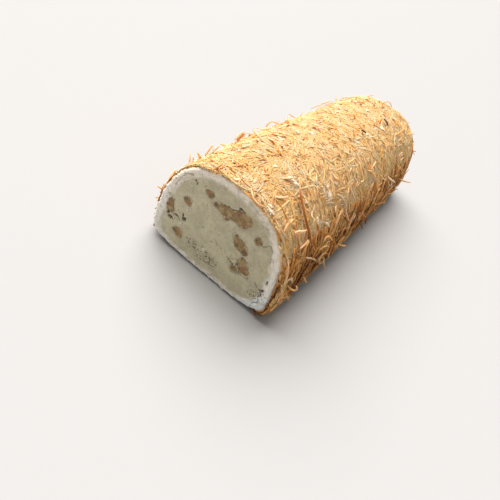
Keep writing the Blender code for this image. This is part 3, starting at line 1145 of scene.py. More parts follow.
@dataclass(frozen=True)
class CrumbKind:
    """Small bits of one kind: their half sizes, how lumpy they are and how flat."""

    name: str
    small: float
    large: float
    lumpy: float = 0.35
    flat: float = 0.75
    seed: int = 3
    fineness: int = 2

    def build(
        self,
        kit: MeshKit,
        places: np.ndarray,
        normals: np.ndarray,
        material: bpy.types.Material,
        slot: str,
    ) -> bpy.types.Object:
        """Make the bits, each a closed lump of its own, as one piece.

        Args:
            kit: Makes the object.
            places: Where the bits lie, one to a row.
            normals: The surface's outward normal at each.
            material: Their finish.
            slot: The record's slot that the finish belongs to.

        Returns:
            The piece.
        """
        draw = np.random.default_rng(self.seed)
        ball = bmesh.new()
        bmesh.ops.create_icosphere(ball, subdivisions=self.fineness, radius=1.0)
        shape = np.array([corner.co for corner in ball.verts])
        triangles = np.array([[corner.index for corner in face.verts] for face in ball.faces])
        ball.free()
        count = len(places)
        size = self.small + (self.large - self.small) * draw.random(count) ** 2
        long = size * draw.uniform(1.0, 1.6, count)
        across = unit(np.cross(normals, unit(draw.normal(0.0, 1.0, (count, 3)))))
        beside = np.cross(normals, across)
        noisy = (shape[None, :, :] * 0.8 + 7.0 * np.arange(count)[:, None, None]).reshape(-1, 3)
        swell = 1.0 + self.lumpy * wander(noisy, 0.6, Pattern.RAGGED, 2).reshape(count, -1, 1)
        bumpy = shape[None, :, :] * swell
        points = (
            places[:, None, :]
            + bumpy[..., 0:1] * (across * long[:, None])[:, None, :]
            + bumpy[..., 1:2] * (beside * size[:, None])[:, None, :]
            + bumpy[..., 2:3] * (normals * (size * self.flat)[:, None])[:, None, :]
        )
        faces = np.arange(count)[:, None, None] * len(shape) + triangles[None, :, :]
        return kit.piece(
            self.name, points.reshape(-1, 3), [faces.reshape(-1, 3)], material, (), slot
        )


@dataclass
class Crumbs:
    """The loose bits: nougat and skin on the coat, crumbs on the cut, nut grains in a hollow."""

    form: RollForm
    face: CutFace
    on_coat: tuple[tuple[float, float, float], ...] = (
        (-1.3, 5.4, 49.2), (1.0, 23.6, 50.2), (12.7, 23.7, 48.9), (23.0, 41.6, 44.4),
        (21.5, 49.7, 45.8), (14.1, 3.0, 47.3), (15.8, 1.2, 46.4), (-2.1, 1.6, 48.9),
        (-5.6, 67.8, 51.3), (2.6, 67.9, 51.4), (20.6, 42.4, 46.2), (27.8, 26.6, 38.6),
    )

    def build(
        self,
        kit: MeshKit,
        skin: bpy.types.Material,
        warm: bpy.types.Material,
        grain: bpy.types.Material,
    ) -> None:
        """Make all of them.

        Args:
            kit: Makes the objects.
            skin: The white skin's finish.
            warm: The finish of bits of skin that the shreds tint.
            grain: The walnut's finish.
        """
        draw = np.random.default_rng(19)
        placed = np.array(self.on_coat) * MM
        count = 22
        angle = draw.uniform(0.12, 0.78, count) * math.pi
        along = draw.beta(0.8, 1.8, count) * 0.9 * self.form.length + 1.0 * MM
        more = np.stack([30.0 * MM * np.cos(angle), along, 44.0 * MM * np.sin(angle)], axis=1)
        places, normals = self.form.settle(np.concatenate([placed, more]), 1.5 * MM)
        bits = CrumbKind("skin_crumbs", 0.75 * MM, 1.6 * MM, 1.0, 0.4, 3, 3)
        made = bits.build(kit, places, normals, warm, "white_skin")
        self.plain(kit, made, 0.3)

        tries = draw.uniform((-30.0 * MM, 0.0, 1.0 * MM), (30.0 * MM, 1e-9, 45.0 * MM), (2600, 3))
        chance = 0.02 + 0.5 * self.face.torn(tries[:, 0], tries[:, 2])
        inside = self.face.inside(self.form, tries)
        chance = np.where(inside < 1.5, 0.25, chance)
        kept = tries[(draw.random(len(tries)) < 0.3 * chance) & (inside > 0.2)]
        kept[:, 1] = ground(kept) - 0.05 * MM
        toward = np.tile([0.0, -1.0, 0.0], (len(kept), 1))
        bits = CrumbKind("nougat_crumbs", 0.16 * MM, 0.5 * MM, 0.5, 0.6, 4)
        made = bits.build(kit, kept, toward, skin, "nougat")
        self.plain(kit, made, 0.45)

        count = 26
        spread = draw.normal(0.0, 1.0, (count, 2)) * (0.75, 0.65) + self.face.hollow
        grains = np.stack([spread[:, 0], draw.uniform(0.3, 0.8, count), spread[:, 1]], axis=1) * MM
        toward = np.tile([0.0, -1.0, 0.0], (len(grains), 1))
        bits = CrumbKind("nut_grains", 0.22 * MM, 0.45 * MM, 0.5, 0.9, 5)
        made = bits.build(kit, grains, toward, grain, "walnut")
        for label in ("red", "dark", "edge"):
            kit.mark(made, label, np.zeros(len(made.data.vertices)))

    @staticmethod
    def plain(kit: MeshKit, made: bpy.types.Object, white: float) -> None:
        """Give every point of a piece the same nougat marks."""
        count = len(made.data.vertices)
        for label, value in (("recess_shade", 0.0), ("stain", 0.0), ("white", white), ("cool", -0.3)):
            kit.mark(made, label, np.full(count, value))


@dataclass(frozen=True)
class StrayShred:
    """A shred that stands out from the rest: its half width and corners in millimetres."""

    kind: Tone
    half_width: float
    tone: float
    corners: tuple[tuple[float, float, float], ...]


STRAYS = (
    StrayShred(Tone.AMBER, 0.6, 0.0, (
        (15.2, 21.5, 48.6), (18.0, 18.7, 47.2), (20.8, 17.1, 45.4), (24.1, 16.3, 42.5),
        (27.0, 16.6, 39.3), (29.6, 18.0, 35.2), (30.9, 18.9, 32.6),
    )),
    # Painted light: the four cream strays at the left take the palest tone, to lighten the shaded side
    # that they show.
    StrayShred(Tone.CREAM, 0.95, -0.4, (
        (-24.9, 34.3, 41.8), (-24.7, 36.2, 44.0), (-24.4, 38.1, 46.1),
    )),
    StrayShred(Tone.CREAM, 0.6, -0.4, (
        (-24.0, 34.6, 41.8), (-23.7, 36.4, 43.9), (-23.3, 38.3, 46.0),
    )),
    StrayShred(Tone.CREAM, 0.6, -0.4, (
        (-24.6, 13.0, 40.1), (-24.7, 14.7, 42.3), (-24.9, 16.7, 44.5),
    )),
    StrayShred(Tone.CREAM, 0.5, -0.4, (
        (-23.2, 14.3, 41.1), (-22.8, 16.1, 43.3), (-22.6, 17.9, 45.2),
    )),
    StrayShred(Tone.STRAW, 0.45, 0.2, (
        (-25.6, 61.7, 42.5), (-26.0, 62.7, 43.8), (-25.7, 63.8, 45.0), (-24.7, 64.7, 45.6),
        (-23.2, 65.3, 45.8), (-21.5, 65.7, 45.6),
    )),
    StrayShred(Tone.STRAW, 0.5, 0.2, (
        (32.1, 155.5, 20.2), (34.9, 156.4, 20.3), (37.7, 157.3, 20.3), (40.2, 158.3, 20.6),
        (42.3, 159.7, 21.4),
    )),
    StrayShred(Tone.STRAW, 0.5, 0.2, (
        (32.3, 57.4, 15.3), (34.7, 57.8, 15.0), (36.6, 58.4, 14.9), (38.2, 59.1, 15.2),
        (39.3, 59.9, 15.7),
    )),
    StrayShred(Tone.STRAW, 0.55, 0.2, (
        (32.4, 24.3, 14.3), (34.1, 24.1, 13.4), (35.7, 23.7, 12.4), (37.4, 23.5, 11.5),
    )),
    StrayShred(Tone.STRAW, 0.45, 0.2, (
        (31.8, 8.3, 18.2), (33.6, 7.9, 17.1), (35.6, 7.9, 16.2), (37.3, 8.7, 16.6),
        (37.5, 9.8, 17.9), (36.0, 9.7, 18.3),
    )),
    StrayShred(Tone.STRAW, 0.45, 0.2, (
        (-27.4, 116.4, 42.1), (-25.9, 118.5, 43.9), (-24.3, 120.5, 45.8), (-22.8, 122.5, 47.6),
        (-21.1, 124.5, 49.2),
    )),
    StrayShred(Tone.CREAM, 0.45, 0.2, (
        (-3.5, 167.7, 48.9), (-2.7, 169.9, 51.2), (-1.5, 171.9, 53.0), (0.6, 172.8, 53.3),
        (3.1, 171.9, 51.3),
    )),
    StrayShred(Tone.STRAW, 0.45, 0.2, (
        (-25.3, 156.5, 41.8), (-25.3, 157.9, 43.5), (-24.1, 159.5, 44.9), (-21.9, 160.4, 45.3),
        (-19.7, 160.4, 44.4),
    )),
    StrayShred(Tone.BURNT, 0.65, 0.2, (
        (12.9, 138.2, 50.7), (10.6, 140.1, 51.4), (8.2, 142.0, 51.5),
    )),
    StrayShred(Tone.BURNT, 0.55, 0.2, (
        (7.2, 104.9, 51.5), (8.7, 105.0, 51.7), (10.2, 105.4, 51.4),
    )),
    StrayShred(Tone.CREAM, 0.45, 0.2, (
        (29.6, 9.6, 34.1), (29.7, 11.9, 34.2), (29.7, 14.3, 34.5), (29.5, 16.8, 35.0),
    )),
    StrayShred(Tone.CREAM, 0.5, 0.2, (
        (32.3, 16.1, 27.8), (33.1, 19.8, 25.6), (33.5, 23.4, 24.1), (34.3, 29.2, 20.0),
        (34.4, 31.4, 18.4),
    )),
    StrayShred(Tone.CREAM, 0.45, 0.2, (
        (25.3, 7.2, 40.3), (25.6, 10.1, 40.1), (26.6, 12.7, 39.1), (27.0, 15.7, 38.9),
    )),
    StrayShred(Tone.STRAW, 0.4, 0.2, (
        (34.3, 45.5, 22.8), (33.3, 40.1, 27.1), (32.4, 35.4, 30.0), (32.3, 32.4, 30.0),
        (32.8, 31.4, 28.0),
    )),
    StrayShred(Tone.STRAW, 0.5, 0.2, (
        (30.6, 1.3, 26.0), (31.5, 0.9, 21.5), (32.0, 0.8, 17.5), (32.3, 1.0, 13.5),
    )),
    StrayShred(Tone.CREAM, 0.5, 0.2, (
        (32.1, 0.6, 16.5), (32.3, 0.9, 12.5), (32.2, 1.0, 8.0), (31.4, 1.3, 4.4),
    )),
    StrayShred(Tone.STRAW, 0.5, 0.2, (
        (32.4, 0.9, 9.0), (31.9, 0.6, 5.5), (30.6, 0.5, 3.0), (28.6, 0.8, 1.5),
    )),
    StrayShred(Tone.CREAM, 0.45, 0.2, (
        (32.5, 2.2, 11.0), (32.4, 2.0, 7.0), (31.5, 1.6, 3.8), (29.8, 1.4, 1.8),
    )),
    StrayShred(Tone.STRAW, 0.45, 0.2, (
        (31.3, 2.2, 23.0), (32.1, 1.9, 18.5), (32.5, 2.1, 14.5), (32.6, 2.7, 10.5),
    )),
)


@dataclass
class KadayifCoat:
    """The coat: a packed mat with thousands of short shreds laid over it in bundles."""

    form: RollForm
    floor: float
    seed: int = 7
    bundles: int = 7800
    cut_bundles: int = 170
    bundle_sizes: tuple[int, int] = (2, 5)
    steps: int = 4
    sides: int = 3
    half_width: float = 0.45 * MM
    mat_height: float = 0.6 * MM
    lengths: tuple[float, float] = (6.5 * MM, 13.0 * MM)
    side_step: float = 0.85 * MM
    side_scatter: float = 0.3 * MM
    along_scatter: float = 1.8 * MM
    fan_out: float = 0.25
    bend: float = 0.11
    curl: float = 0.6
    wobble: float = 0.1
    highest: float = 5.0 * MM
    overhang: tuple[float, float] = (-0.9 * MM, 0.4 * MM)
    torn_back: float = 3.6 * MM
    cut_reach: float = 5.0 * MM
    end_share: float = 0.09
    mat_points: int = 150
    stray_rings: int = 9

    def __post_init__(self) -> None:
        """Start the coat's own row of random draws."""
        self.draw = np.random.default_rng(self.seed)

    def edge(self, normals: np.ndarray) -> np.ndarray:
        """Return how far behind the cut the coat starts: furthest on the left and underneath."""
        across, up = normals[..., 0], normals[..., 2]
        away = np.maximum(-across, -up - np.maximum(across, 0.0))
        return self.torn_back * smooth_step(0.3, 0.8, away)

    def toast_and_shade_at(self, points: np.ndarray) -> np.ndarray:
        """Return how much darker the coat is at points, most low on its sides: partly more toasting,
        partly painted shade on the flanks that face away from the light.
        """
        height = points[:, 2] / self.form.height
        height = height + 0.14 * wander(points, 15.0 * MM, Pattern.TOAST_AND_SHADE)
        far = smooth_step(0.65, 1.0, points[:, 1] / self.form.length)
        return smooth_step(0.75, 0.28, height * (1.0 + 0.2 * far))

    def bareness(self, points: np.ndarray) -> np.ndarray:
        """Return where the coat is thin and the white skin shows: small spots."""
        return smooth_step(0.42, 0.56, wander(points, 6.5 * MM, Pattern.BARE))

    def build_mat(self, kit: MeshKit, material: bpy.types.Material) -> bpy.types.Object:
        """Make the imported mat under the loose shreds, closed at the cut and flat underneath.

        Args:
            kit: Makes the object.
            material: The mat's finish.

        Returns:
            The piece.
        """
        count = self.mat_points
        outside = np.concatenate(self.form.layer(self.mat_height, 110, 24, count))
        normal = self.form.settle(outside, self.mat_height)[1]
        bumps = 0.3 * MM * wander(outside, 2.4 * MM, Pattern.MAT_BUMPS, 2)
        bare = self.bareness(outside)
        toast_and_shade = self.toast_and_shade_at(outside)
        near = np.clip(1.0 - outside[:, 1] / (12.0 * MM), 0.0, 1.0)
        start = 0.6 * MM + self.edge(normal) + 0.5 * MM * wander(outside, 1.8 * MM, Pattern.MAT_EDGE)
        outside = outside + normal * (bumps - 0.35 * MM * bare)[:, None]
        outside[:, 1] += near * start
        bare = bare * (1.0 - 0.6 * toast_and_shade)
        smeared = smooth_step(4.0 * MM, 0.8 * MM, outside[:, 1] - self.edge(normal))
        bare = np.maximum(0.6 * bare, 0.15 * smeared)
        toast_and_shade = toast_and_shade * (1.0 - 0.95 * smeared)
        under = 0.1 * MM
        straight = self.form.length - self.form.rounding
        inside = [
            self.form.ring(y + (3.0 * MM if y < straight else 0.0), under, shrink, count)
            for y, shrink in self.form.stations(under, 3, 6)
        ]
        tips = (self.form.tip(under), self.form.tip(self.mat_height))
        points = np.concatenate([*inside[::-1], outside, *tips])
        points[:, 2] = np.maximum(points[:, 2], self.floor + 0.25 * MM)
        faces = closed(len(points) // count, count)
        made = kit.piece(
            "packed_shreds", points, faces, material, ("kadayif_coat",), "toasted_kadayif"
        )
        hidden = np.zeros(len(inside) * count)
        kit.mark(made, "bare", np.concatenate([hidden, 0.8 * bare, (0.0, 0.0)]))
        # Painted shade as well as toasting: the toast_and_shade mark browns the mat low on the flanks.
        kit.mark(made, "toast_and_shade", np.concatenate([hidden, 1.05 * toast_and_shade, (0.5, 0.5)]))
        return made

    def starts(self) -> np.ndarray:
        """Spread the bundles' starting places evenly over the coat, the closed end included."""
        index = np.arange(1, 4 * self.bundles)
        first, second = (index / EVEN_SPREAD) % 1.0, (index / EVEN_SPREAD**2) % 1.0
        accept = self.draw.random(len(index))
        side_length = self.form.length - 0.35 * self.form.rounding
        y = first / (1.0 - self.end_share) * side_length
        ring = self.form.ring(0.0, 0.0, 1.0, 720)
        around = ring[(second * 720).astype(int)]
        along = np.maximum(y - self.form.length + self.form.rounding, 0.0) / self.form.rounding
        shrink = np.clip(1.0 - along**self.form.end_power, 0.0, 1.0) ** (1 / self.form.end_power)
        sides = np.stack([around[:, 0] * shrink, y, around[:, 2]], axis=1)
        sides[:, 2] = self.form.waist + (around[:, 2] - self.form.waist) * shrink
        inward = np.sqrt(self.draw.random(len(index))) * 0.95
        ends = np.stack(
            [
                around[:, 0] * inward,
                np.full(len(index), self.form.length - 1.0 * MM),
                self.form.waist + (around[:, 2] - self.form.waist) * inward,
            ],
            axis=1,
        )
        on_end = first > 1.0 - self.end_share
        places = np.where(on_end[:, None], ends, sides)
        underneath = places[:, 2] < 2.0 * MM
        keep = (accept < shrink) | on_end
        keep &= ~underneath | (accept < 0.3)
        places = places[keep]
        sparse = np.maximum(0.75 * self.bareness(places), 0.66 * self.toast_and_shade_at(places))
        places = places[self.draw.random(len(places)) > sparse][: self.bundles]
        right = ring[ring[:, 0] > 0.0]
        more = right[self.draw.integers(0, len(right), self.cut_bundles)].copy()
        more[:, 1] = self.draw.uniform(0.0, 4.5 * MM, self.cut_bundles)
        return np.concatenate([places, more])

    def lay_bundles(self) -> Bundles:
        """Choose where every bundle starts, which way it runs and how dark it is: toasting, with
        painted shade on the deeper bundles and low on the flanks.

        Returns:
            The bundles.
        """
        draw = self.draw
        starts = self.starts()
        count = len(starts)
        sizes = draw.integers(*self.bundle_sizes, endpoint=True, size=count)
        centre, normal = self.form.settle(starts, self.mat_height)
        flank = np.abs(normal[:, 0])
        at_cut = (centre[:, 1] < self.cut_reach) & (flank > 0.35)
        hooped = draw.random(count) < 0.22 + 0.6 * flank + 0.4 * at_cut
        turned = np.where(
            hooped,
            0.5 * math.pi + draw.normal(0.0, 1.0, count) * np.where(at_cut, 0.3, 0.5),
            draw.normal(0.0, 0.8, count),
        )
        turned = turned + np.where(at_cut, 0.2, 0.9) * wander(centre, 17.0 * MM, Pattern.SWIRL)
        turned = turned + math.pi * draw.integers(0, 2, count)
        ahead = unit(np.array([0.0, 1.0, 0.0]) - normal * normal[:, 1:2])
        level = draw.beta(1.3, 1.6, count)
        tone = 0.5 * wander(centre, 7.0 * MM, Pattern.TONE) + draw.normal(0.0, 0.16, count)
        return Bundles(
            sizes=sizes,
            centre=centre,
            normal=normal,
            heading=rotated(ahead, normal, turned),
            level=level,
            toast_and_shade=self.toast_and_shade_at(centre),
            clump=0.4 * MM * wander(centre, 8.0 * MM, Pattern.CLUMPS),
            # Painted shade: deeper bundles get a darker tone, as if shaded by the shreds above.
            tone=tone - 0.95 * (level - 0.45),
            at_rim=at_cut * smooth_step(5.5 * MM, 1.0 * MM, centre[:, 1]),
        )

    def lay(self) -> Shreds:
        """Lay every shred.

        Returns:
            The shreds, in the order in which they were laid.
        """
        draw = self.draw
        bundles = self.lay_bundles()
        sizes = bundles.sizes
        own = bundles.take(np.repeat(np.arange(len(sizes)), sizes))
        count, toast_and_shade = len(own.sizes), own.toast_and_shade
        place = np.arange(count) - np.repeat(np.cumsum(sizes) - sizes, sizes)
        offset = (place - 0.5 * own.sizes) * self.side_step
        offset = offset + draw.normal(0.0, self.side_scatter, count)
        back = draw.normal(0.0, self.along_scatter, count)
        beside = np.cross(own.normal, own.heading)
        point = own.centre + beside * offset[:, None] + own.heading * back[:, None]
        heading = rotated(own.heading, own.normal, draw.normal(0.0, self.fan_out, count))
        length = draw.uniform(*self.lengths, count) * np.where(draw.random(count) < 0.05, 1.5, 1.0)
        length *= 1.0 - 0.2 * toast_and_shade
        curly = draw.random(count) < 0.07 + 0.3 * toast_and_shade
        bend = draw.normal(0.0, self.bend, count)
        bend = bend + np.where(curly, draw.normal(0.0, self.curl, count), 0.0)
        wobble = draw.normal(0.0, self.wobble, (self.steps + 1, count)) * (1.0 + 0.9 * toast_and_shade)
        layer = own.level * (0.5 + 1.9 * toast_and_shade)
        low = 0.2 * MM + MM * layer + own.clump + draw.normal(0.0, 0.12 * MM, count)
        low = np.maximum(low, 0.1 * MM)
        lift_start = np.abs(draw.normal(0.0, 0.18 * MM, count))
        loose = draw.random(count) < 0.012 + (0.02 + 0.05 * toast_and_shade) * own.level
        stands, lies = draw.gamma(2.0, 0.9 * MM, count), draw.normal(0.0, 0.14 * MM, count)
        lift_end = np.minimum(np.where(loose, stands, lies), self.highest)

        points, normals = [], []
        for step in range(self.steps + 1):
            share = step / self.steps
            point, normal = self.form.settle(point, self.mat_height)
            rise = lift_start * (1.0 - share) ** 3 + lift_end * max(share - 0.3, 0.0) ** 2 / 0.49
            points.append(point + normal * (low + rise)[:, None])
            normals.append(normal)
            heading = rotated(heading, normal, bend + wobble[step])
            heading = unit(heading - normal * (normal * heading).sum(axis=1, keepdims=True))
            point = point + heading * (length / self.steps)[:, None]
        points, normals = np.stack(points, axis=1), np.stack(normals, axis=1)

        overhang = draw.uniform(*self.overhang, count)
        overhang -= 1.1 * MM * (draw.random(count) < 0.06)
        short = (self.edge(normals) - points[:, :, 1]).max(axis=1)
        points[:, :, 1] += np.where(short > 0.0, short + overhang, 0.0)[:, None]
        half_wide = self.half_width * draw.uniform(0.7, 1.3, count)
        flat = draw.random(count) < 0.14
        half_wide = np.where(flat, half_wide * 1.45, half_wide)
        half_high = self.half_width * np.where(flat, 0.45, draw.uniform(0.5, 0.9, count))
        half_high *= 0.8 + 0.35 * toast_and_shade
        half_wide *= 1.08 - 0.12 * toast_and_shade
        points[:, :, 2] = np.maximum(points[:, :, 2], self.floor + half_high[:, None])
        tone = 0.6 * np.tanh((own.tone + draw.normal(0.0, 0.2, count)) / 0.6)
        # Painted shade on the flanks: there the deeper shreds go much darker than the ones on top.
        tone += toast_and_shade * (1.95 - 2.2 * (own.level - 0.45) - 0.9 * loose)
        tone -= own.at_rim * (0.1 + 1.55 * toast_and_shade)
        tone -= 0.3 * loose
        return Shreds(points, normals, half_wide, half_high, tone, toast_and_shade)

    def lay_strays(self, kind: Tone) -> Shreds:
        """Lay the shreds of one kind that stand out from the rest.

        Args:
            kind: Their kind.

        Returns:
            The shreds, which may be none.
        """
        chosen = [stray for stray in STRAYS if stray.kind is kind]
        points = np.zeros((len(chosen), self.stray_rings, 3))
        for row, stray in zip(points, chosen):
            corners = np.array(stray.corners) * MM
            wanted = np.linspace(0.0, len(corners) - 1.0, self.stray_rings)
            for axis in range(3):
                row[:, axis] = np.interp(wanted, np.arange(len(corners)), corners[:, axis])
            for _ in range(2):
                row[1:-1] = (row[:-2] + 2.0 * row[1:-1] + row[2:]) / 4.0
        flat = points.reshape(-1, 3)
        normals = self.form.settle(flat, self.mat_height)[1].reshape(points.shape)
        half_wide = np.array([stray.half_width * MM for stray in chosen])
        tone = np.array([stray.tone for stray in chosen])
        return Shreds(points, normals, half_wide, 0.7 * half_wide, tone, 0.0 * tone)

    def by_kind(self, laid: Shreds) -> dict[Tone, Shreds]:
        """Share the shreds out among the kinds, the palest tones first."""
        order = np.argsort(laid.tone, kind="stable")
        bounds = np.cumsum([0.0, *(kind.value.share for kind in Tone)]) * len(order)
        kinds = {}
        for kind, low, high in zip(Tone, bounds, bounds[1:]):
            chosen = order[int(round(low)) : int(round(high))]
            kinds[kind] = laid.take(chosen)
            kinds[kind].tone = 0.7 * np.linspace(0.0, 1.0, len(chosen))
            # The toast_and_shade mark darkens each shred within its kind: toasting and painted shade.
            kinds[kind].tone += 0.35 * kinds[kind].toast_and_shade
        return kinds

    def build_kind(
        self, kit: MeshKit, name: str, shreds: Shreds, material: bpy.types.Material
    ) -> bpy.types.Object:
        """Make one piece of many shreds, each a slim closed body.

        Args:
            kit: Makes the object.
            name: The piece's name.
            shreds: The shreds in it.
            material: Their finish.

        Returns:
            The piece.
        """
        count, rings = shreds.points.shape[:2]
        along = unit(np.gradient(shreds.points, axis=1))
        beside = unit(np.cross(along, shreds.normals))
        above = np.cross(beside, along)
        share = np.linspace(0.0, 1.0, rings)
        taper = 1.0 - 0.45 * np.abs(2.0 * share - 1.0) ** 6
        angle = 2.0 * math.pi * np.arange(self.sides) / self.sides + 0.5 * math.pi
        wide = shreds.half_wide[:, None, None, None] * taper[None, :, None, None]
        high = shreds.half_high[:, None, None, None] * taper[None, :, None, None]
        offset = beside[:, :, None, :] * wide * np.cos(angle)[None, None, :, None]
        offset = offset + above[:, :, None, :] * high * np.sin(angle)[None, None, :, None]
        points = (shreds.points[:, :, None, :] + 1.2 * offset).reshape(-1, 3)
        points[:, 2] = np.maximum(points[:, 2], self.floor)

        first = np.arange(count) * rings * self.sides
        tube = sew(rings, self.sides)
        walls = (first[:, None, None] + tube[None, :, :]).reshape(-1, 4)
        cap = np.arange(self.sides)
        near = first[:, None] + cap[None, ::-1]
        far = first[:, None] + (rings - 1) * self.sides + cap[None, :]
        made = kit.piece(name, points, [walls, near, far], material, (), "toasted_kadayif")
        ends = 0.28 * np.abs(2.0 * share - 1.0) ** 3
        tone = shreds.tone[:, None, None] + ends[None, :, None] + np.zeros((1, 1, self.sides))
        kit.mark(made, "tone", tone)
        self.lay_out(made, count, rings)
        return made

    def lay_out(self, piece: bpy.types.Object, count: int, rings: int) -> None:
        """Give each shred its own cell in the piece's texture layout.

        Args:
            piece: The piece of many shreds.
            count: How many shreds it has.
            rings: How many rings each has.
        """
        grid = math.ceil(math.sqrt(count))
        column, row = np.arange(count) % grid, np.arange(count) // grid
        step = np.repeat(np.arange(rings - 1), self.sides)
        side = np.tile(np.arange(self.sides), rings - 1)
        along = np.stack([step, step, step + 1, step + 1], axis=1) / (rings - 1)
        around = np.stack([side, side + 1, side + 1, side], axis=1) / self.sides
        wall = np.stack([0.14 + 0.72 * along, 0.06 + 0.88 * around], axis=-1).reshape(-1, 2)
        turn = 2.0 * math.pi * np.arange(self.sides) / self.sides
        disc = 0.05 * np.stack([np.cos(turn), np.sin(turn)], axis=1)
        near = disc[::-1] + (0.07, 0.5)
        far = disc + (0.93, 0.5)
        cell = np.stack([column, row], axis=1).astype(float)
        places = np.concatenate(
            [(cell[:, None, :] + part[None, :, :]).reshape(-1, 2) for part in (wall, near, far)]
        )
        layer = piece.data.uv_layers.new(name=LAYOUT)
        layer.data.foreach_set("uv", (places / grid).astype(np.float32).ravel())


@dataclass
class Studio:
    """The floor, the lights and the camera."""

    placement: Placement
    azimuth: float = math.radians(17.352)
    elevation: float = math.radians(39.001)
    roll: float = math.radians(26.955)
    distance: float = 185.65 * MM
    aside: float = -20.73 * MM
    above: float = -9.31 * MM
    lens: float = 30.96

    def build_floor(self) -> bpy.types.Object:
        """Make the pale floor."""
        bpy.ops.mesh.primitive_plane_add(size=60.0, location=(0.0, 0.0, 0.0))
        floor = bpy.context.object
        floor.name = "floor"
        material = bpy.data.materials.new("floor")
        material.use_nodes = True
        shader = material.node_tree.nodes["Principled BSDF"]
        shader.inputs["Base Color"].default_value = (0.495, 0.50, 0.51, 1.0)
        shader.inputs["Roughness"].default_value = 0.9
        floor.data.materials.append(material)
        return floor

    def add_lamp(
        self, name: str, place: Vector, spread: float, strength: float, tint: Colour
    ) -> None:
        """Set up one broad lamp, so far off that it lights the roll and the floor evenly.

        Args:
            name: The lamp's name.
            place: Where it stands, as a direction from the roll.
            spread: How wide it looks from the roll, in degrees.
            strength: Its strength.
            tint: Its colour.
        """
        lamp = bpy.data.lights.new(name, "SUN")
        lamp.angle = math.radians(spread)
        lamp.energy = strength
        lamp.color = tint
        hung = put(name, lamp)
        hung.location = place
        hung.rotation_euler = (-place).to_track_quat("-Z", "Y").to_euler()

    def build_lights(self) -> None:
        """Set up the lamps and the sky."""
        self.add_lamp("key_lamp", Vector((-0.53, 0.34, 0.92)), 62.0, 5.55, (1.0, 0.96, 0.92))
        self.add_lamp("fill_lamp", Vector((-0.5, -1.2, 0.35)), 60.0, 0.19, (0.90, 0.98, 1.0))
        world = bpy.data.worlds.new("studio")
        world.use_nodes = True
        sky = world.node_tree.nodes["Background"]
        sky.inputs["Color"].default_value = (1.0, 0.95, 0.86, 1.0)
        sky.inputs["Strength"].default_value = 0.33
        bpy.context.scene.world = world
        bpy.context.scene.view_settings.view_transform = "Standard"

    def build_camera(self) -> bpy.types.Object:
        """Set up the camera, rolled so that the log climbs to the right."""
        sin_az, cos_az = math.sin(self.azimuth), math.cos(self.azimuth)
        sin_el, cos_el = math.sin(self.elevation), math.cos(self.elevation)
        back = Vector((sin_az * cos_el, -cos_az * cos_el, sin_el))
        level = Vector((cos_az, sin_az, 0.0))
        upright = back.cross(level)
        right = level * math.cos(self.roll) + upright * math.sin(self.roll)
        up = upright * math.cos(self.roll) - level * math.sin(self.roll)
        place = back * self.distance - right * self.aside - up * self.above
        lens = bpy.data.cameras.new("camera")
        lens.lens = self.lens
        lens.sensor_width = 36.0
        lens.clip_start = 0.01
        camera = put("camera", lens)
        turn = Matrix((right, up, back)).transposed().to_4x4()
        camera.matrix_world = Matrix.Translation(place + Vector(self.placement.origin)) @ turn
        bpy.context.scene.camera = camera
        return camera


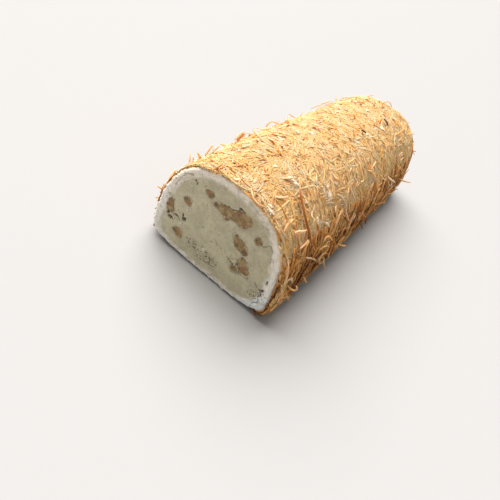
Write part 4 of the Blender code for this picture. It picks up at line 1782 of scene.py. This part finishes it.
WALNUTS = (
    WalnutPiece(
        "walnut_big",
        (
            (-6.1, 34.9), (-3.7, 35.9), (-0.9, 36.6), (1.3, 36.2), (4.0, 37.8), (5.0, 39.2),
            (6.7, 38.9), (8.2, 38.5), (10.3, 38.9), (11.3, 38.0), (11.5, 36.1), (10.3, 33.6),
            (7.4, 31.8), (5.8, 32.6), (3.7, 32.6), (2.3, 32.4), (1.2, 30.6), (0.0, 30.3),
            (-1.0, 31.7), (-2.8, 32.3), (-4.4, 32.7), (-6.0, 32.6), (-7.0, 33.8),
        ),
        half_depth=6.0,
        dark=(Spot(-5.9, 33.9, 1.6), Spot(4.6, 38.6, 1.3), Spot(2.3, 32.9, 1.0)),
        red=(Spot(0.6, 31.5, 1.4), Spot(4.6, 36.6, 1.8), Spot(9.2, 33.8, 2.0), Spot(-0.8, 35.6, 1.2)),
        ragged=0.05,
        rings=30,
        count=180,
    ),
    WalnutPiece(
        "walnut_middle",
        (
            (6.0, 26.4), (7.4, 28.5), (9.5, 27.8), (11.9, 27.0), (13.9, 25.9), (15.0, 23.9),
            (14.7, 22.2), (13.0, 21.2), (11.7, 22.4), (9.9, 22.3), (8.4, 23.2), (7.6, 25.0),
        ),
        half_depth=4.5,
        dark=(Spot(13.3, 22.6, 2.1), Spot(7.2, 27.0, 1.2), Spot(8.9, 23.6, 1.1)),
        red=(Spot(13.6, 23.9, 2.0), Spot(9.0, 26.6, 1.0)),
    ),
    WalnutPiece(
        "walnut_low",
        (
            (12.3, 18.2), (13.3, 21.0), (15.3, 20.8), (16.6, 18.3), (18.9, 16.2), (18.6, 14.6),
            (16.4, 13.4), (14.6, 14.0), (13.1, 15.4), (12.2, 16.7),
        ),
        half_depth=4.5,
        dark=(Spot(13.0, 19.8, 1.1), Spot(17.2, 13.9, 1.1), Spot(12.8, 16.4, 0.8)),
        red=(Spot(15.7, 15.8, 2.2),),
    ),
    WalnutPiece(
        "walnut_left_low",
        (
            (-20.8, 9.3), (-19.6, 11.2), (-18.0, 11.9), (-15.9, 11.2), (-15.0, 9.2), (-15.7, 7.2),
            (-17.5, 7.1), (-19.5, 8.1),
        ),
        half_depth=4.0,
        dark=(Spot(-19.9, 9.5, 1.3),),
        red=(Spot(-18.4, 9.2, 1.2),),
    ),
    WalnutPiece(
        "walnut_left_edge",
        (
            (-26.6, 21.4), (-25.4, 22.7), (-23.4, 22.4), (-23.9, 20.6), (-22.6, 18.6), (-22.6, 17.0),
            (-24.2, 16.1), (-26.3, 16.4), (-27.1, 18.6),
        ),
        half_depth=4.0,
        dark=(Spot(-27.0, 18.4, 1.3), Spot(-24.9, 22.3, 1.3), Spot(-23.4, 16.6, 1.2)),
        red=(Spot(-25.2, 19.6, 1.8),),
        ragged=0.12,
    ),
    WalnutPiece(
        "walnut_left_high",
        (
            (-20.1, 27.0), (-18.6, 28.4), (-15.9, 28.2), (-15.6, 26.6), (-15.9, 24.8), (-17.6, 24.9),
            (-19.1, 25.4),
        ),
        half_depth=4.0,
        dark=(Spot(-19.2, 27.1, 1.5),),
        red=(Spot(-16.6, 26.1, 2.0),),
    ),
    WalnutPiece(
        "walnut_top",
        (
            (-12.1, 36.6), (-10.3, 37.5), (-8.3, 37.6), (-7.6, 36.4), (-7.9, 34.6), (-9.4, 34.5),
            (-10.9, 35.4),
        ),
        half_depth=3.5,
        dark=(Spot(-8.4, 35.2, 0.9),),
        red=(Spot(-10.4, 36.4, 1.2),),
    ),
    WalnutPiece(
        "walnut_right",
        (
            (14.9, 31.2), (15.0, 33.1), (16.4, 34.2), (17.9, 33.6), (18.4, 32.0), (17.4, 30.6),
            (15.9, 30.2),
        ),
        half_depth=3.5,
        dark=(Spot(15.3, 32.0, 1.3), Spot(18.2, 32.0, 0.8), Spot(16.9, 32.0, 0.4)),
        ragged=0.06,
    ),
)


def main() -> None:
    """Dress the roll and set up its studio."""
    logging.basicConfig(level=logging.INFO, format="%(name)s: %(message)s")
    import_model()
    placement = Placement.from_frame()
    form = RollForm()
    kit = MeshKit(placement)
    effects = SurfaceEffects()

    face = CutFace(WALNUTS)
    skin = NougatFinish("white_skin").material(effects)
    walnut = WalnutFinish().material(effects)
    NougatCore(form, face).build(kit, NougatFinish().material(effects))
    WhiteSkin(form, face).build(kit, skin)
    for nut in WALNUTS:
        nut.build(kit, walnut)
    tinted = NougatFinish(
        "tinted_skin",
        cream=(0.93, 0.73, 0.52),
        dull=(0.86, 0.63, 0.41),
        warm_white=(0.97, 0.84, 0.68),
        cool_white=(0.95, 0.84, 0.70),
    )
    Crumbs(form, face).build(kit, skin, tinted.material(effects), walnut)

    coat = KadayifCoat(form, placement.floor)
    coat.build_mat(kit, MatFinish().material(effects))
    for kind, shreds in coat.by_kind(coat.lay()).items():
        material = kind.value.material(effects)
        coat.build_kind(kit, kind.value.name, shreds, material)
        strays = coat.lay_strays(kind)
        if len(strays.points):
            coat.build_kind(kit, "stray_" + kind.value.name, strays, material)

    studio = Studio(placement)
    studio.build_floor()
    studio.build_lights()
    studio.build_camera()


if __name__ == "__main__":
    main()
